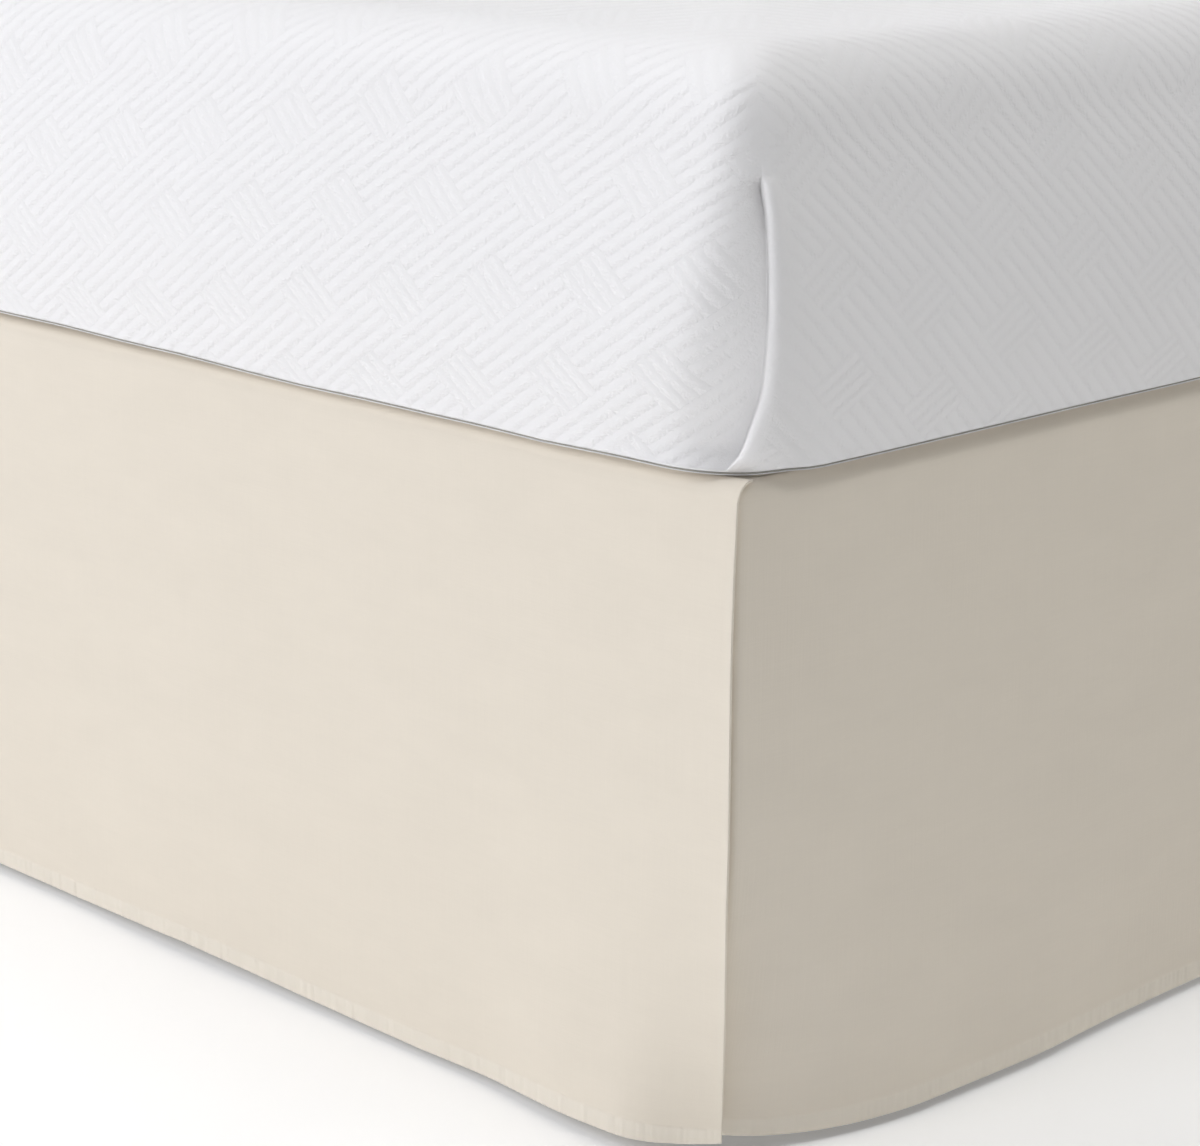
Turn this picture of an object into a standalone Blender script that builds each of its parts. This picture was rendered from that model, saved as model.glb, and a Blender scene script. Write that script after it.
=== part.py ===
"""Bed skirt on a bed: a tailored skirt with split corners, hanging from a plain queen-size bed.

The skirt is a flat deck that lies between the box spring and the mattress, and three drop panels sewn to
its edge. The foot panel laps over the two side panels, which turn the corners behind it. The bed is plain:
box spring, mattress, and a steel frame on seven legs.

Metres, +Z up. The foot of the bed faces -Y and its head, which has no panel, faces +Y. The origin is on the
floor, under the middle of the bed's box.
"""

import math
from collections import namedtuple

import bmesh
import bpy

INCH = 0.0254
MM = 0.001
GAP = 0.3 * MM

# The bed's standard size, and the skirt's drop from the platform to just above the floor.
BED_WIDTH = 60 * INCH
BED_LENGTH = 80 * INCH
SKIRT_DROP = 15 * INCH
HEM_CLEARANCE = 6 * MM
PLATFORM_TOP = SKIRT_DROP + HEM_CLEARANCE

# Box spring.
BASE_THICKNESS = 7.5 * INCH
BASE_CORNER_RADIUS = 12 * MM
BASE_TOP_EDGE_RADIUS = 14 * MM
BASE_BOTTOM_EDGE_RADIUS = 6 * MM
BASE_LEAST_CORNER = 1.5 * MM
BASE_EDGE_STEPS = 4

# Mattress.
MATTRESS_THICKNESS = 250 * MM
MATTRESS_OVERHANG = 4.5 * MM
MATTRESS_SIDE_SWELL = 3 * MM
MATTRESS_CORNER_RADIUS = 52 * MM
MATTRESS_TOP_EDGE_RADIUS = 48 * MM
MATTRESS_BOTTOM_EDGE_RADIUS = 4 * MM
MATTRESS_CROWN = 30 * MM
MATTRESS_LIFT = 2.4 * MM
MATTRESS_EDGE_STEPS = 5
MATTRESS_CORNER_STEPS = 7
# Its corners tighten towards the middle of the top, down to the least radius.
MATTRESS_CORNER_EASE = 0.55
MATTRESS_LEAST_CORNER = 20 * MM
# The top's crown: distance in from the side, share of the crown's height.
CROWN_RINGS = (
    (80 * MM, 0.16),
    (160 * MM, 0.46),
    (360 * MM, 0.90),
    (500 * MM, 1.00),
)

# Cloth.
CLOTH_THICKNESS = 1.2 * MM
HEM_THICKNESS = 1.8 * MM
HEM_DEPTH = 0.5 * INCH
SIDE_HEM_WIDTH = 6 * MM
DECK_INSET = 9.4 * MM
DECK_CORNER_RADIUS = 3 * MM
HEAD_END_INSET = 3 * MM

# The shoulder, where a drop panel leaves its seam and turns down over the platform's edge.
SEAM_INSET = 9 * MM
SHOULDER_HEIGHT = 10 * MM
# How soon down the shoulder a panel's plan passes from that of its seam to that of its face.
SHOULDER_BLEND = 1.1
SIDE_FACE_OFFSET = 2.8 * MM
FOOT_FACE_OFFSET = 4.7 * MM
SIDE_SEAM_RISE = 0.0 * MM
FOOT_SEAM_RISE = 1.5 * MM

# Below the box spring the panels hang free and their corners curl in under the bed.
FREE_DEPTH = 190 * MM
SIDE_CURL_EASE = 1.25
FOOT_CURL_EASE = 1.9
HEM_SWING = 2.5 * MM
# Share of a hem's swing that the cloth still makes where the box spring backs it.
BACKED_SWING = 0.12

# Each panel bulges gently near its corner: height, distance from the panel's end, half width.
SIDE_BULGE = 2.5 * MM
SIDE_BULGE_PLACE = 325 * MM
FOOT_BULGE = 4.5 * MM
FOOT_BULGE_PLACE = 125 * MM
BULGE_HALF_WIDTH = 50 * MM

# The split corner in plan. The side panel runs on round the corner behind the foot panel, and the foot
# panel ends just short of the corner. The hems' ends curl in along these (length, turn in degrees) sections.
SIDE_RETURN = 64 * MM
SIDE_CURL_LENGTH = 165 * MM
SIDE_HEM_CURL = (
    (134 * MM, -35),
    (12 * MM, 0),
    (27 * MM, -55),
    (45 * MM, 0),
)
FOOT_END_INSET = 3.5 * MM
FOOT_CURL_LENGTH = 88 * MM
FOOT_HEM_CURL = (
    (33 * MM, 33),
    (31 * MM, 0),
)
FOOT_SEAM_TURN = 52

# Steel frame and legs.
RAIL_HEIGHT = 38 * MM
RAIL_WIDTH = 30 * MM
RAIL_INSET = 58 * MM
RAIL_END_INSET = 60 * MM
RAIL_EDGE_RADIUS = 3 * MM
CROSS_RAIL_STATIONS = {"foot": -0.80, "middle": 0.0, "head": 0.80}
LEG_WIDTH = 32 * MM
LEG_EDGE_RADIUS = 4 * MM
GLIDE_RADIUS = 24 * MM
GLIDE_TOP_RADIUS = 20.6 * MM
GLIDE_HEIGHT = 14 * MM
GLIDE_SIDES = 20

# The foot panel stands out further than the mattress does at the head, so the bed sits a little towards
# the head to keep its box centred on the origin.
FOOT_REACH = FOOT_FACE_OFFSET + FOOT_BULGE + HEM_THICKNESS / 2
HEAD_REACH = MATTRESS_OVERHANG + MATTRESS_SIDE_SWELL
BED_CENTRE_Y = (FOOT_REACH - HEAD_REACH) / 2

HALF_WIDTH = BED_WIDTH / 2
FOOT_Y = BED_CENTRE_Y - BED_LENGTH / 2
HEAD_Y = BED_CENTRE_Y + BED_LENGTH / 2

# The folds that each panel's hem swings in: wave length, phase in turns, share of the swing.
HEM_WAVES = (
    (0.62, 0.15, 0.50),
    (0.37, 0.60, 0.32),
    (0.23, 0.35, 0.18),
)
HEM_PHASES = {"right": 0.0, "left": 0.4, "foot": 0.75}

# A drop panel's plan: where its half path starts and heads, on which side outward lies, and its path at
# the seam, down the face and at the hem. A path is a row of (length, turn in degrees) sections.
Panel = namedtuple(
    "Panel",
    "start heading outward seam face hem columns shared face_offset seam_rise curl_ease bulge bulge_at",
)

# Drop of each row of points below the shoulder, closer together where the cloth bends.
FACE_ROWS = (0.045, 0.105, 0.155, 0.190, 0.222, 0.255, 0.290, 0.325)
SHOULDER_ROWS = 4
# Columns are closer together from this far before a hem's curl begins.
CLOSE_COLUMNS_LEAD = 60 * MM


def clear_scene():
    for obj in list(bpy.data.objects):
        bpy.data.objects.remove(obj, do_unlink=True)


def finish_material(name, colour, roughness, metallic=0.0):
    material = bpy.data.materials.new(name)
    material.use_nodes = True
    shader = material.node_tree.nodes["Principled BSDF"]
    shader.inputs["Base Color"].default_value = (*colour, 1.0)
    shader.inputs["Roughness"].default_value = roughness
    shader.inputs["Metallic"].default_value = metallic
    return material


def add_object(name, points, faces, material):
    mesh = bpy.data.meshes.new(name)
    mesh.from_pydata(points, [], faces)
    mesh.materials.append(material)
    obj = bpy.data.objects.new(name, mesh)
    bpy.context.scene.collection.objects.link(obj)
    return obj


def smooth(obj, angle=40):
    obj.data.shade_smooth()
    obj.data.set_sharp_from_angle(angle=math.radians(angle))


def ease(value):
    """0 to 1 with a level start and end."""
    value = min(max(value, 0.0), 1.0)
    return value * value * (3 - 2 * value)


# Rounded blocks: box spring, mattress and deck.


def rounded_ring(half_x, half_y, radius, z, centre_y, steps):
    """A rounded rectangle, anticlockwise from +X."""
    ring = []
    for quarter, (side_x, side_y) in enumerate(((1, 1), (-1, 1), (-1, -1), (1, -1))):
        for step in range(steps + 1):
            angle = math.radians(90 * (quarter + step / steps))
            x = side_x * (half_x - radius) + radius * math.cos(angle)
            y = side_y * (half_y - radius) + radius * math.sin(angle)
            ring.append((x, centre_y + y, z))
    return ring


def stacked_block(name, rings, material):
    """A closed body through rings of equal count, from the bottom one to the top one."""
    count = len(rings[0])
    points = [point for ring in rings for point in ring]
    faces = [tuple(reversed(range(count)))]
    for level in range(len(rings) - 1):
        low = level * count
        for i in range(count):
            j = (i + 1) % count
            faces.append((low + i, low + j, low + count + j, low + count + i))
    last = (len(rings) - 1) * count
    faces.append(tuple(range(last, last + count)))
    return add_object(name, points, faces, material)


def edge_round(radius, steps):
    """Inset and height left at each step of a quarter round, from its vertical end to its level end."""
    found = []
    for step in range(steps + 1):
        angle = math.radians(90 * step / steps)
        found.append((radius * (1 - math.cos(angle)), radius * (1 - math.sin(angle))))
    return found


def block_levels(bottom, top, bottom_radius, top_radius, steps):
    """(inset, z) of a block's rings: rounded bottom edge, straight side, rounded top edge."""
    levels = [(inset, bottom + left) for inset, left in reversed(edge_round(bottom_radius, steps))]
    levels += [(inset, top - left) for inset, left in edge_round(top_radius, steps)]
    return levels


def make_box_spring(material):
    bottom = PLATFORM_TOP - BASE_THICKNESS
    levels = block_levels(
        bottom, PLATFORM_TOP, BASE_BOTTOM_EDGE_RADIUS, BASE_TOP_EDGE_RADIUS, BASE_EDGE_STEPS
    )
    rings = []
    for inset, z in levels:
        radius = max(BASE_CORNER_RADIUS - inset, BASE_LEAST_CORNER)
        rings.append(
            rounded_ring(
                HALF_WIDTH - inset, BED_LENGTH / 2 - inset, radius, z, BED_CENTRE_Y, BASE_EDGE_STEPS
            )
        )
    smooth(stacked_block("box_spring", rings, material))


def make_mattress(material):
    bottom = PLATFORM_TOP + MATTRESS_LIFT
    top = bottom + MATTRESS_THICKNESS - MATTRESS_CROWN
    levels = block_levels(
        bottom, top, MATTRESS_BOTTOM_EDGE_RADIUS, MATTRESS_TOP_EDGE_RADIUS, MATTRESS_EDGE_STEPS
    )
    middle = (bottom + top) / 2
    levels.insert(MATTRESS_EDGE_STEPS + 1, (-MATTRESS_SIDE_SWELL, middle))
    levels += [(inset, top + share * MATTRESS_CROWN) for inset, share in CROWN_RINGS]
    half_x = HALF_WIDTH + MATTRESS_OVERHANG
    half_y = BED_LENGTH / 2 + MATTRESS_OVERHANG
    rings = []
    for inset, z in levels:
        radius = max(MATTRESS_CORNER_RADIUS - inset * MATTRESS_CORNER_EASE, MATTRESS_LEAST_CORNER)
        rings.append(
            rounded_ring(
                half_x - inset, half_y - inset, radius, z, BED_CENTRE_Y, MATTRESS_CORNER_STEPS
            )
        )
    smooth(stacked_block("mattress", rings, material))


def make_deck(material):
    """The deck stops at the seam along the sides and the foot, and at the box spring's edge at the head."""
    low_y = FOOT_Y + DECK_INSET
    high_y = HEAD_Y - HEAD_END_INSET
    half_y = (high_y - low_y) / 2
    rings = [
        rounded_ring(HALF_WIDTH - DECK_INSET, half_y, DECK_CORNER_RADIUS, z, low_y + half_y, 3)
        for z in (PLATFORM_TOP + GAP, PLATFORM_TOP + GAP + CLOTH_THICKNESS)
    ]
    stacked_block("deck", rings, material)


# Drop panels.


def walk(start, heading, sections, distance):
    """Point and heading after this distance along straight and curved sections."""
    x, y = start
    heading = math.radians(heading)
    for length, turn in sections:
        step = min(distance, length)
        angle = math.radians(turn) * step / length
        if angle:
            radius = step / angle
            x += radius * (math.sin(heading + angle) - math.sin(heading))
            y -= radius * (math.cos(heading + angle) - math.cos(heading))
        else:
            x += step * math.cos(heading)
            y += step * math.sin(heading)
        heading += angle
        distance -= step
    return x, y, heading


def path_length(sections):
    return sum(length for length, _ in sections)


def place_on(panel, sections, distance):
    """Where a column of the panel meets one of its paths: past the shared straight run, each path takes
    the rest of the columns over its own length."""
    shared = panel.shared
    if distance > shared:
        tail = path_length(panel.face) - shared
        distance = shared + (distance - shared) * (path_length(sections) - shared) / tail
    return walk(panel.start, panel.heading, sections, distance)


def wave(distance, phase):
    return sum(
        share * math.sin(2 * math.pi * (distance / length + turn + phase))
        for length, turn, share in HEM_WAVES
    )


def column_points(panel, distance, phase):
    """The points down one thread of the panel, from its seam to its hem. The thread keeps its length, so a
    hem that swings in or out also lifts."""
    seam_x, seam_y, seam_heading = place_on(panel, panel.seam, distance)
    face_x, face_y, heading = place_on(panel, panel.face, distance)
    hem_x, hem_y, _ = place_on(panel, panel.hem, distance)
    side = panel.outward * math.pi / 2
    out_x, out_y = math.cos(seam_heading + side), math.sin(seam_heading + side)
    face_out_x, face_out_y = math.cos(heading + side), math.sin(heading + side)
    swing = HEM_SWING * wave(distance, phase)
    near = (path_length(panel.face) - panel.bulge_at - distance) / BULGE_HALF_WIDTH
    swing += panel.bulge * math.exp(-near * near)

    points = []
    for step in range(SHOULDER_ROWS):
        angle = math.radians(90 * step / SHOULDER_ROWS)
        inset = (SEAM_INSET + panel.face_offset) * (1 - math.sin(angle))
        drop = SHOULDER_HEIGHT * (1 - math.cos(angle))
        blend = ease(step / SHOULDER_ROWS * SHOULDER_BLEND)
        x = (seam_x - out_x * inset) * (1 - blend) + (face_x - face_out_x * inset) * blend
        y = (seam_y - out_y * inset) * (1 - blend) + (face_y - face_out_y * inset) * blend
        points.append((x, y, PLATFORM_TOP + panel.seam_rise - drop))

    depths = [SHOULDER_HEIGHT, *FACE_ROWS, SKIRT_DROP - HEM_DEPTH, SKIRT_DROP]
    z = PLATFORM_TOP - SHOULDER_HEIGHT
    last = None
    for depth in depths:
        free = max(depth - FREE_DEPTH, 0.0) / (SKIRT_DROP - FREE_DEPTH)
        curl = free**panel.curl_ease
        loose = BACKED_SWING * ease(depth / FREE_DEPTH) + (1 - BACKED_SWING) * curl
        x = face_x + (hem_x - face_x) * curl + face_out_x * swing * loose
        y = face_y + (hem_y - face_y) * curl + face_out_y * swing * loose
        if last:
            aside = math.hypot(x - last[0], y - last[1])
            thread = depth - last[2]
            z -= math.sqrt(max(thread * thread - aside * aside, 0.0))
        points.append((x, y, z))
        last = (x, y, depth)
    return points


def make_drop(name, columns, hem_columns, material):
    """The panel's middle surface, thickened: doubled along the hem and in its narrow side hems."""
    rows = len(columns[0])
    points = [point for column in columns for point in column]
    faces = []
    for i in range(len(columns) - 1):
        for j in range(rows - 1):
            low = i * rows + j
            faces.append((low, low + 1, low + rows + 1, low + rows))
    obj = add_object(name, points, faces, material)
    doubled = obj.vertex_groups.new(name="doubled")
    single = CLOTH_THICKNESS / HEM_THICKNESS
    for i in range(len(columns)):
        for j in range(rows):
            in_hem = j >= rows - 2 or i in hem_columns
            doubled.add([i * rows + j], 1.0 if in_hem else single, "REPLACE")
    solidify = obj.modifiers.new("thickness", "SOLIDIFY")
    solidify.thickness = HEM_THICKNESS
    solidify.offset = 0.0
    solidify.use_even_offset = True
    solidify.vertex_group = "doubled"
    smooth(obj)
    return obj


def spaced(start, end, count):
    return [start + (end - start) * i / count for i in range(count)]


def side_panel():
    """The right side drop, from the head to the foot: it turns the corner and ends behind the foot drop."""
    corner = BASE_CORNER_RADIUS + SIDE_FACE_OFFSET
    turn_start = BED_LENGTH - BASE_CORNER_RADIUS - HEAD_END_INSET
    turn_end = turn_start + corner * math.pi / 2
    curl_start = turn_start + corner - SIDE_CURL_LENGTH
    face = ((turn_start, 0), (turn_end - turn_start, -90), (SIDE_RETURN, 0))
    hem = ((curl_start, 0), *SIDE_HEM_CURL)
    end = path_length(face)
    close_start = curl_start - CLOSE_COLUMNS_LEAD
    columns = [0, SIDE_HEM_WIDTH]
    columns += spaced(4 * SIDE_HEM_WIDTH, close_start, 28)
    columns += spaced(close_start, turn_start, 10)
    columns += spaced(turn_start, turn_end, 5)
    columns += spaced(turn_end, end - SIDE_HEM_WIDTH, 3)
    columns += [end - SIDE_HEM_WIDTH, end]
    start = (HALF_WIDTH + SIDE_FACE_OFFSET, HEAD_Y - HEAD_END_INSET)
    return Panel(
        start, -90, 1, face, face, hem, columns, curl_start, SIDE_FACE_OFFSET, SIDE_SEAM_RISE,
        SIDE_CURL_EASE, SIDE_BULGE, SIDE_BULGE_PLACE,
    )


def foot_panel():
    """Half of the foot drop, from the middle to its right end, which laps over the side drop."""
    corner = BASE_CORNER_RADIUS + FOOT_FACE_OFFSET
    turn_start = HALF_WIDTH - BASE_CORNER_RADIUS
    face_end = HALF_WIDTH - FOOT_END_INSET
    curl_start = HALF_WIDTH - FOOT_CURL_LENGTH
    seam = ((turn_start, 0), (math.radians(FOOT_SEAM_TURN) * corner, FOOT_SEAM_TURN))
    face = ((face_end, 0),)
    hem = ((curl_start, 0), *FOOT_HEM_CURL)
    close_start = curl_start - CLOSE_COLUMNS_LEAD
    columns = spaced(0, close_start, 10)
    columns += spaced(close_start, face_end - SIDE_HEM_WIDTH, 11)
    columns += [face_end - SIDE_HEM_WIDTH, face_end]
    start = (0.0, FOOT_Y - FOOT_FACE_OFFSET)
    return Panel(
        start, 0, -1, seam, face, hem, columns, curl_start, FOOT_FACE_OFFSET, FOOT_SEAM_RISE,
        FOOT_CURL_EASE, FOOT_BULGE, FOOT_BULGE_PLACE,
    )


def mirrored(column):
    return [(-x, y, z) for x, y, z in column]


def make_side_drops(material):
    panel = side_panel()
    last = len(panel.columns) - 1
    right = [column_points(panel, distance, HEM_PHASES["right"]) for distance in panel.columns]
    left = [mirrored(column_points(panel, distance, HEM_PHASES["left"])) for distance in panel.columns]
    make_drop("drop_right", right, {0, last}, material)
    make_drop("drop_left", left, {0, last}, material)


def make_foot_drop(material):
    panel = foot_panel()
    right = [column_points(panel, distance, HEM_PHASES["foot"]) for distance in panel.columns]
    left = [mirrored(column) for column in right[:0:-1]]
    columns = left + right
    last = len(columns) - 1
    make_drop("drop_foot", columns, {0, last}, material)


# Steel frame and legs.


def beam(name, size, centre, material, edge_radius):
    mesh = bpy.data.meshes.new(name)
    shape = bmesh.new()
    bmesh.ops.create_cube(shape, size=1.0)
    bmesh.ops.scale(shape, vec=size, verts=shape.verts)
    shape.to_mesh(mesh)
    shape.free()
    mesh.materials.append(material)
    obj = bpy.data.objects.new(name, mesh)
    obj.location = centre
    bpy.context.scene.collection.objects.link(obj)
    bevel = obj.modifiers.new("edges", "BEVEL")
    bevel.width = edge_radius
    bevel.segments = 2
    smooth(obj)
    return obj


def make_frame(steel):
    top = PLATFORM_TOP - BASE_THICKNESS - GAP
    z = top - RAIL_HEIGHT / 2
    rail_x = HALF_WIDTH - RAIL_INSET
    rail_length = BED_LENGTH - 2 * RAIL_END_INSET
    for name, side in (("rail_left", -1), ("rail_right", 1)):
        beam(
            name, (RAIL_WIDTH, rail_length, RAIL_HEIGHT), (side * rail_x, BED_CENTRE_Y, z), steel,
            RAIL_EDGE_RADIUS,
        )
    cross_length = 2 * (rail_x - RAIL_WIDTH / 2 - GAP)
    for station, y in CROSS_RAIL_STATIONS.items():
        beam(
            f"cross_rail_{station}", (cross_length, RAIL_WIDTH, RAIL_HEIGHT), (0, BED_CENTRE_Y + y, z),
            steel, RAIL_EDGE_RADIUS,
        )


def make_glide(name, x, y, plastic):
    """A flat-bottomed plastic foot, narrower at its top."""
    mesh = bpy.data.meshes.new(name)
    shape = bmesh.new()
    bmesh.ops.create_cone(
        shape,
        cap_ends=True,
        segments=GLIDE_SIDES,
        radius1=GLIDE_RADIUS,
        radius2=GLIDE_TOP_RADIUS,
        depth=GLIDE_HEIGHT,
    )
    shape.to_mesh(mesh)
    shape.free()
    mesh.materials.append(plastic)
    obj = bpy.data.objects.new(name, mesh)
    obj.location = (x, y, GLIDE_HEIGHT / 2)
    bpy.context.scene.collection.objects.link(obj)
    smooth(obj)


def make_legs(steel, plastic):
    top = PLATFORM_TOP - BASE_THICKNESS - RAIL_HEIGHT - 2 * GAP
    bottom = GLIDE_HEIGHT + GAP
    height = top - bottom
    rail_x = HALF_WIDTH - RAIL_INSET
    for station, y in CROSS_RAIL_STATIONS.items():
        for side, x in (("left", -rail_x), ("centre", 0.0), ("right", rail_x)):
            if station == "middle" and side != "centre":
                continue
            leg_y = BED_CENTRE_Y + y
            beam(
                f"leg_{station}_{side}", (LEG_WIDTH, LEG_WIDTH, height), (x, leg_y, bottom + height / 2),
                steel, LEG_EDGE_RADIUS,
            )
            make_glide(f"glide_{station}_{side}", x, leg_y, plastic)


def main():
    clear_scene()
    skirt_cloth = finish_material("skirt cotton", (0.81, 0.75, 0.65), 0.85)
    ticking = finish_material("mattress ticking", (0.86, 0.86, 0.87), 0.80)
    base_cover = finish_material("box spring cover", (0.78, 0.77, 0.74), 0.85)
    steel = finish_material("painted steel", (0.03, 0.03, 0.032), 0.45)
    plastic = finish_material("glide plastic", (0.02, 0.02, 0.02), 0.5)
    make_frame(steel)
    make_legs(steel, plastic)
    make_box_spring(base_cover)
    make_deck(skirt_cloth)
    make_side_drops(skirt_cloth)
    make_foot_drop(skirt_cloth)
    make_mattress(ticking)


main()
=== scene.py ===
import math
from collections import namedtuple
from functools import partial

import bmesh
import bpy
import numpy as np
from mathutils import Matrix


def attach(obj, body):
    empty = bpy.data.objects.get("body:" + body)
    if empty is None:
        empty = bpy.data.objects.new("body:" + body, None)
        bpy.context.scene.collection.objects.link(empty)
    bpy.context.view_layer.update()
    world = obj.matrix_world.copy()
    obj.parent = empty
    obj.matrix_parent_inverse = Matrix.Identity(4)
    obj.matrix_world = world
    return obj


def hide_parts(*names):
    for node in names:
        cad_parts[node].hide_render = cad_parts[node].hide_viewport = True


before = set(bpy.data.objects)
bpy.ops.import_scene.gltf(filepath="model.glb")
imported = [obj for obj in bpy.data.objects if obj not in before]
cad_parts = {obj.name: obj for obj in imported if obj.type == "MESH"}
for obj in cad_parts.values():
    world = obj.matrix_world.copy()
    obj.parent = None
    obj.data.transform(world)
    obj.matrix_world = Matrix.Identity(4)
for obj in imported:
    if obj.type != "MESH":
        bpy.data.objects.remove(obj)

bl_info = {
    "name": "Bed Skirt on a Bed",
    "version": (1, 0, 0),
    "blender": (4, 5, 0),
    "location": "3D Viewport > Sidebar > Bed Skirt",
    "description": "Builds a tailored split-corner bed skirt on a plain bed, with its stage and lights",
    "category": "Object",
}

INCH = 0.0254
MM = 0.001

# Sizes shared with the solids.
HALF_WIDTH = 30 * INCH
BED_LENGTH = 80 * INCH
SKIRT_DROP = 15 * INCH
PLATFORM_TOP = 0.387
BASE_THICKNESS = 7.5 * INCH
BASE_CORNER_RADIUS = 12 * MM
BASE_COVER_INSET = 1.2 * MM
BASE_COVER_RADIUS = 38 * MM
BASE_SWELL = 0.7 * MM
BASE_TOP_EDGE = 14 * MM
BASE_BOTTOM_EDGE = 6 * MM
BASE_TAPE_RADIUS = 2.2 * MM
# Where its two edge tapes lie: distance in from the side, and distance from the top or the bottom.
BASE_TOP_TAPE = (2.6 * MM, 5.0 * MM)
BASE_BOTTOM_TAPE = (0.8 * MM, 3.2 * MM)
BED_CENTRE_Y = 1.3 * MM
FOOT_Y = BED_CENTRE_Y - BED_LENGTH / 2
HEAD_Y = BED_CENTRE_Y + BED_LENGTH / 2
HEAD_END_INSET = 3 * MM
DECK_INSET = 9.4 * MM
DECK_HEIGHT = PLATFORM_TOP + 0.9 * MM
# The deck stands up where the seams of the drops lie under it.
DECK_SEAM_RISE = 1.9 * MM
DECK_COLUMNS, DECK_ROWS = 101, 135
# Straight runs of the welts and of the box spring are divided into these counts.
RUN_COUNTS = (38, 28)

# The pieces of cloth as they are cut: width of each panel.
FOOT_FLAT_WIDTH = 1.55
SIDE_FLAT_WIDTH = 2.12

SEAM_INSET = 9 * MM
SHOULDER_HEIGHT = 10 * MM
SHOULDER_BLEND = 1.1
SIDE_FACE_OFFSET = 2.8 * MM
FOOT_FACE_OFFSET = 4.7 * MM
FOOT_SEAM_RISE = 3.2 * MM
SIDE_SEAM_RISE = 2.9 * MM
# At the corners of the foot the cloth stands up a little more.
CORNER_RISE = 1.3 * MM
CORNER_REACH = 60 * MM
FREE_DEPTH = 190 * MM
SIDE_CURL_EASE = 1.25
FOOT_CURL_EASE = 1.9
HEM_SWING = 2.5 * MM
BACKED_SWING = 0.12
SIDE_BULGE = 2.5 * MM
SIDE_BULGE_PLACE = 325 * MM
FOOT_BULGE = 4.5 * MM
FOOT_BULGE_PLACE = 125 * MM
BULGE_HALF_WIDTH = 50 * MM
SIDE_RETURN = 64 * MM
SIDE_CURL_LENGTH = 165 * MM
SIDE_HEM_CURL = ((134 * MM, -35), (12 * MM, 0), (27 * MM, -55), (45 * MM, 0))
# The side panel's corner: drawn in a little, then turned sharply just behind the foot panel's edge.
SIDE_CORNER = ((60 * MM, -6), (34 * MM, 0), (4.4 * MM, -84))
SIDE_CORNER_PLACE = 3.0 * MM
FOOT_END_INSET = 2.6 * MM
# The foot panel's hem isn't quite level: how far it stands up at distances from the middle.
HEM_PLACES = np.array([0.0, 160, 220, 280, 340, 400, 510, 600, 660, 720, 762]) * MM
HEM_RISES = np.array([0.6, 0.1, 1.4, 2.6, 1.7, 0.2, -0.9, 0.6, 2.0, 2.6, 1.9]) * MM
FOOT_CURL_LENGTH = 88 * MM
FOOT_HEM_CURL = ((33 * MM, 33), (31 * MM, 0))
# How far the foot panel's ends stand out beyond their straight line, at depths below the platform.
LAP_DEPTHS = np.array([10, 25, 40, 60, 90, 130, 190, 230, 280, 310, 340, 381]) * MM
LAP_OFFSETS = np.array([2.3, 1.6, 0.8, 0.3, -0.5, -0.7, -0.9, -1.5, -1.2, -0.8, -0.2, 0.7]) * MM
LAP_FADE = 60 * MM
# The waves of the hem: length, turn and share.
HEM_WAVES = ((0.62, 0.15, 0.50), (0.37, 0.60, 0.32), (0.23, 0.35, 0.18))
HEM_PHASES = {"right": 0.0, "left": 0.4, "foot": 0.75}

MATTRESS_BOTTOM = 0.3898
MATTRESS_TOP = MATTRESS_BOTTOM + 220 * MM
MATTRESS_OVERHANG = 8 * MM
MATTRESS_SWELL = 11 * MM
MATTRESS_CORNER_RADIUS = 60 * MM
# Higher up the corners are less round: their radii at heights above the floor.
CORNER_HEIGHTS = (0.392, 0.440, 0.455, 0.480, 0.508, 0.530, 0.545, 0.565, 0.60)
CORNER_RADII = np.array([60, 58, 55, 50, 44, 40, 34, 27, 26]) * MM
MATTRESS_CORNER_EASE = 0.55
MATTRESS_LEAST_CORNER = 20 * MM
MATTRESS_SIDE_ROWS = 26
MATTRESS_TOP_EDGE = 46 * MM
# The top is filled higher towards its middle: its share of the crown at distances in from the side.
MATTRESS_CROWN = 30 * MM
CROWN_INSETS = (0.046, 0.08, 0.16, 0.36, 0.50)
CROWN_SHARES = (0.0, 0.16, 0.46, 0.90, 1.0)
TOP_INSETS = (0.07, 0.10, 0.14, 0.19, 0.25, 0.32, 0.40, 0.50, 0.60, 0.69, 0.74)
# The underside, the bottom edge and the groove for its welt: distances in from the side, and heights.
BOTTOM_EDGE = np.array([
    (100.0, 0.0), (20.0, 0.0), (3.0, 0.0), (0.8, 0.05), (0.45, 0.2), (0.5, 0.45), (1.0, 0.6), (2.0, 0.7),
    (2.0, 1.35), (1.0, 1.5), (0.5, 1.8), (0.12, 2.7), (0.0, 4.2),
]) * MM
# The bottom edge of the mattress isn't quite level: how far it stands up at places out from the bed's middle
# along the foot, then on round the corner and along the side.
EDGE_PLACES, EDGE_RISES = np.array([
    (0, 3.9), (115, 3.9), (182, 4.2), (246, 3.1), (307, 3.2), (365, 1.8), (421, 1.2), (475, 1.9),
    (526, 1.9), (576, 2.1), (624, 1.4), (670, 2.7), (714, 2.9), (742, 2.8), (754, 2.9), (765, 4.2),
    (770, 3.3), (800, 3.1), (1000, 3.0), (1080, 2.5), (1200, 3.1),
]).T * MM
# This rise ends within these distances, in under the mattress and up its side.
EDGE_REACH_IN = 50 * MM
EDGE_REACH_UP = 60 * MM
# The sides are a little uneven: height and wave lengths, and where this starts and ends.
SIDE_UNEVEN, SIDE_UNEVEN_LENGTHS = 0.5 * MM, (0.43, 0.27, 0.19)
UNEVEN_FROM = 20 * MM
UNEVEN_PAST_SHOULDER = 30 * MM
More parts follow.
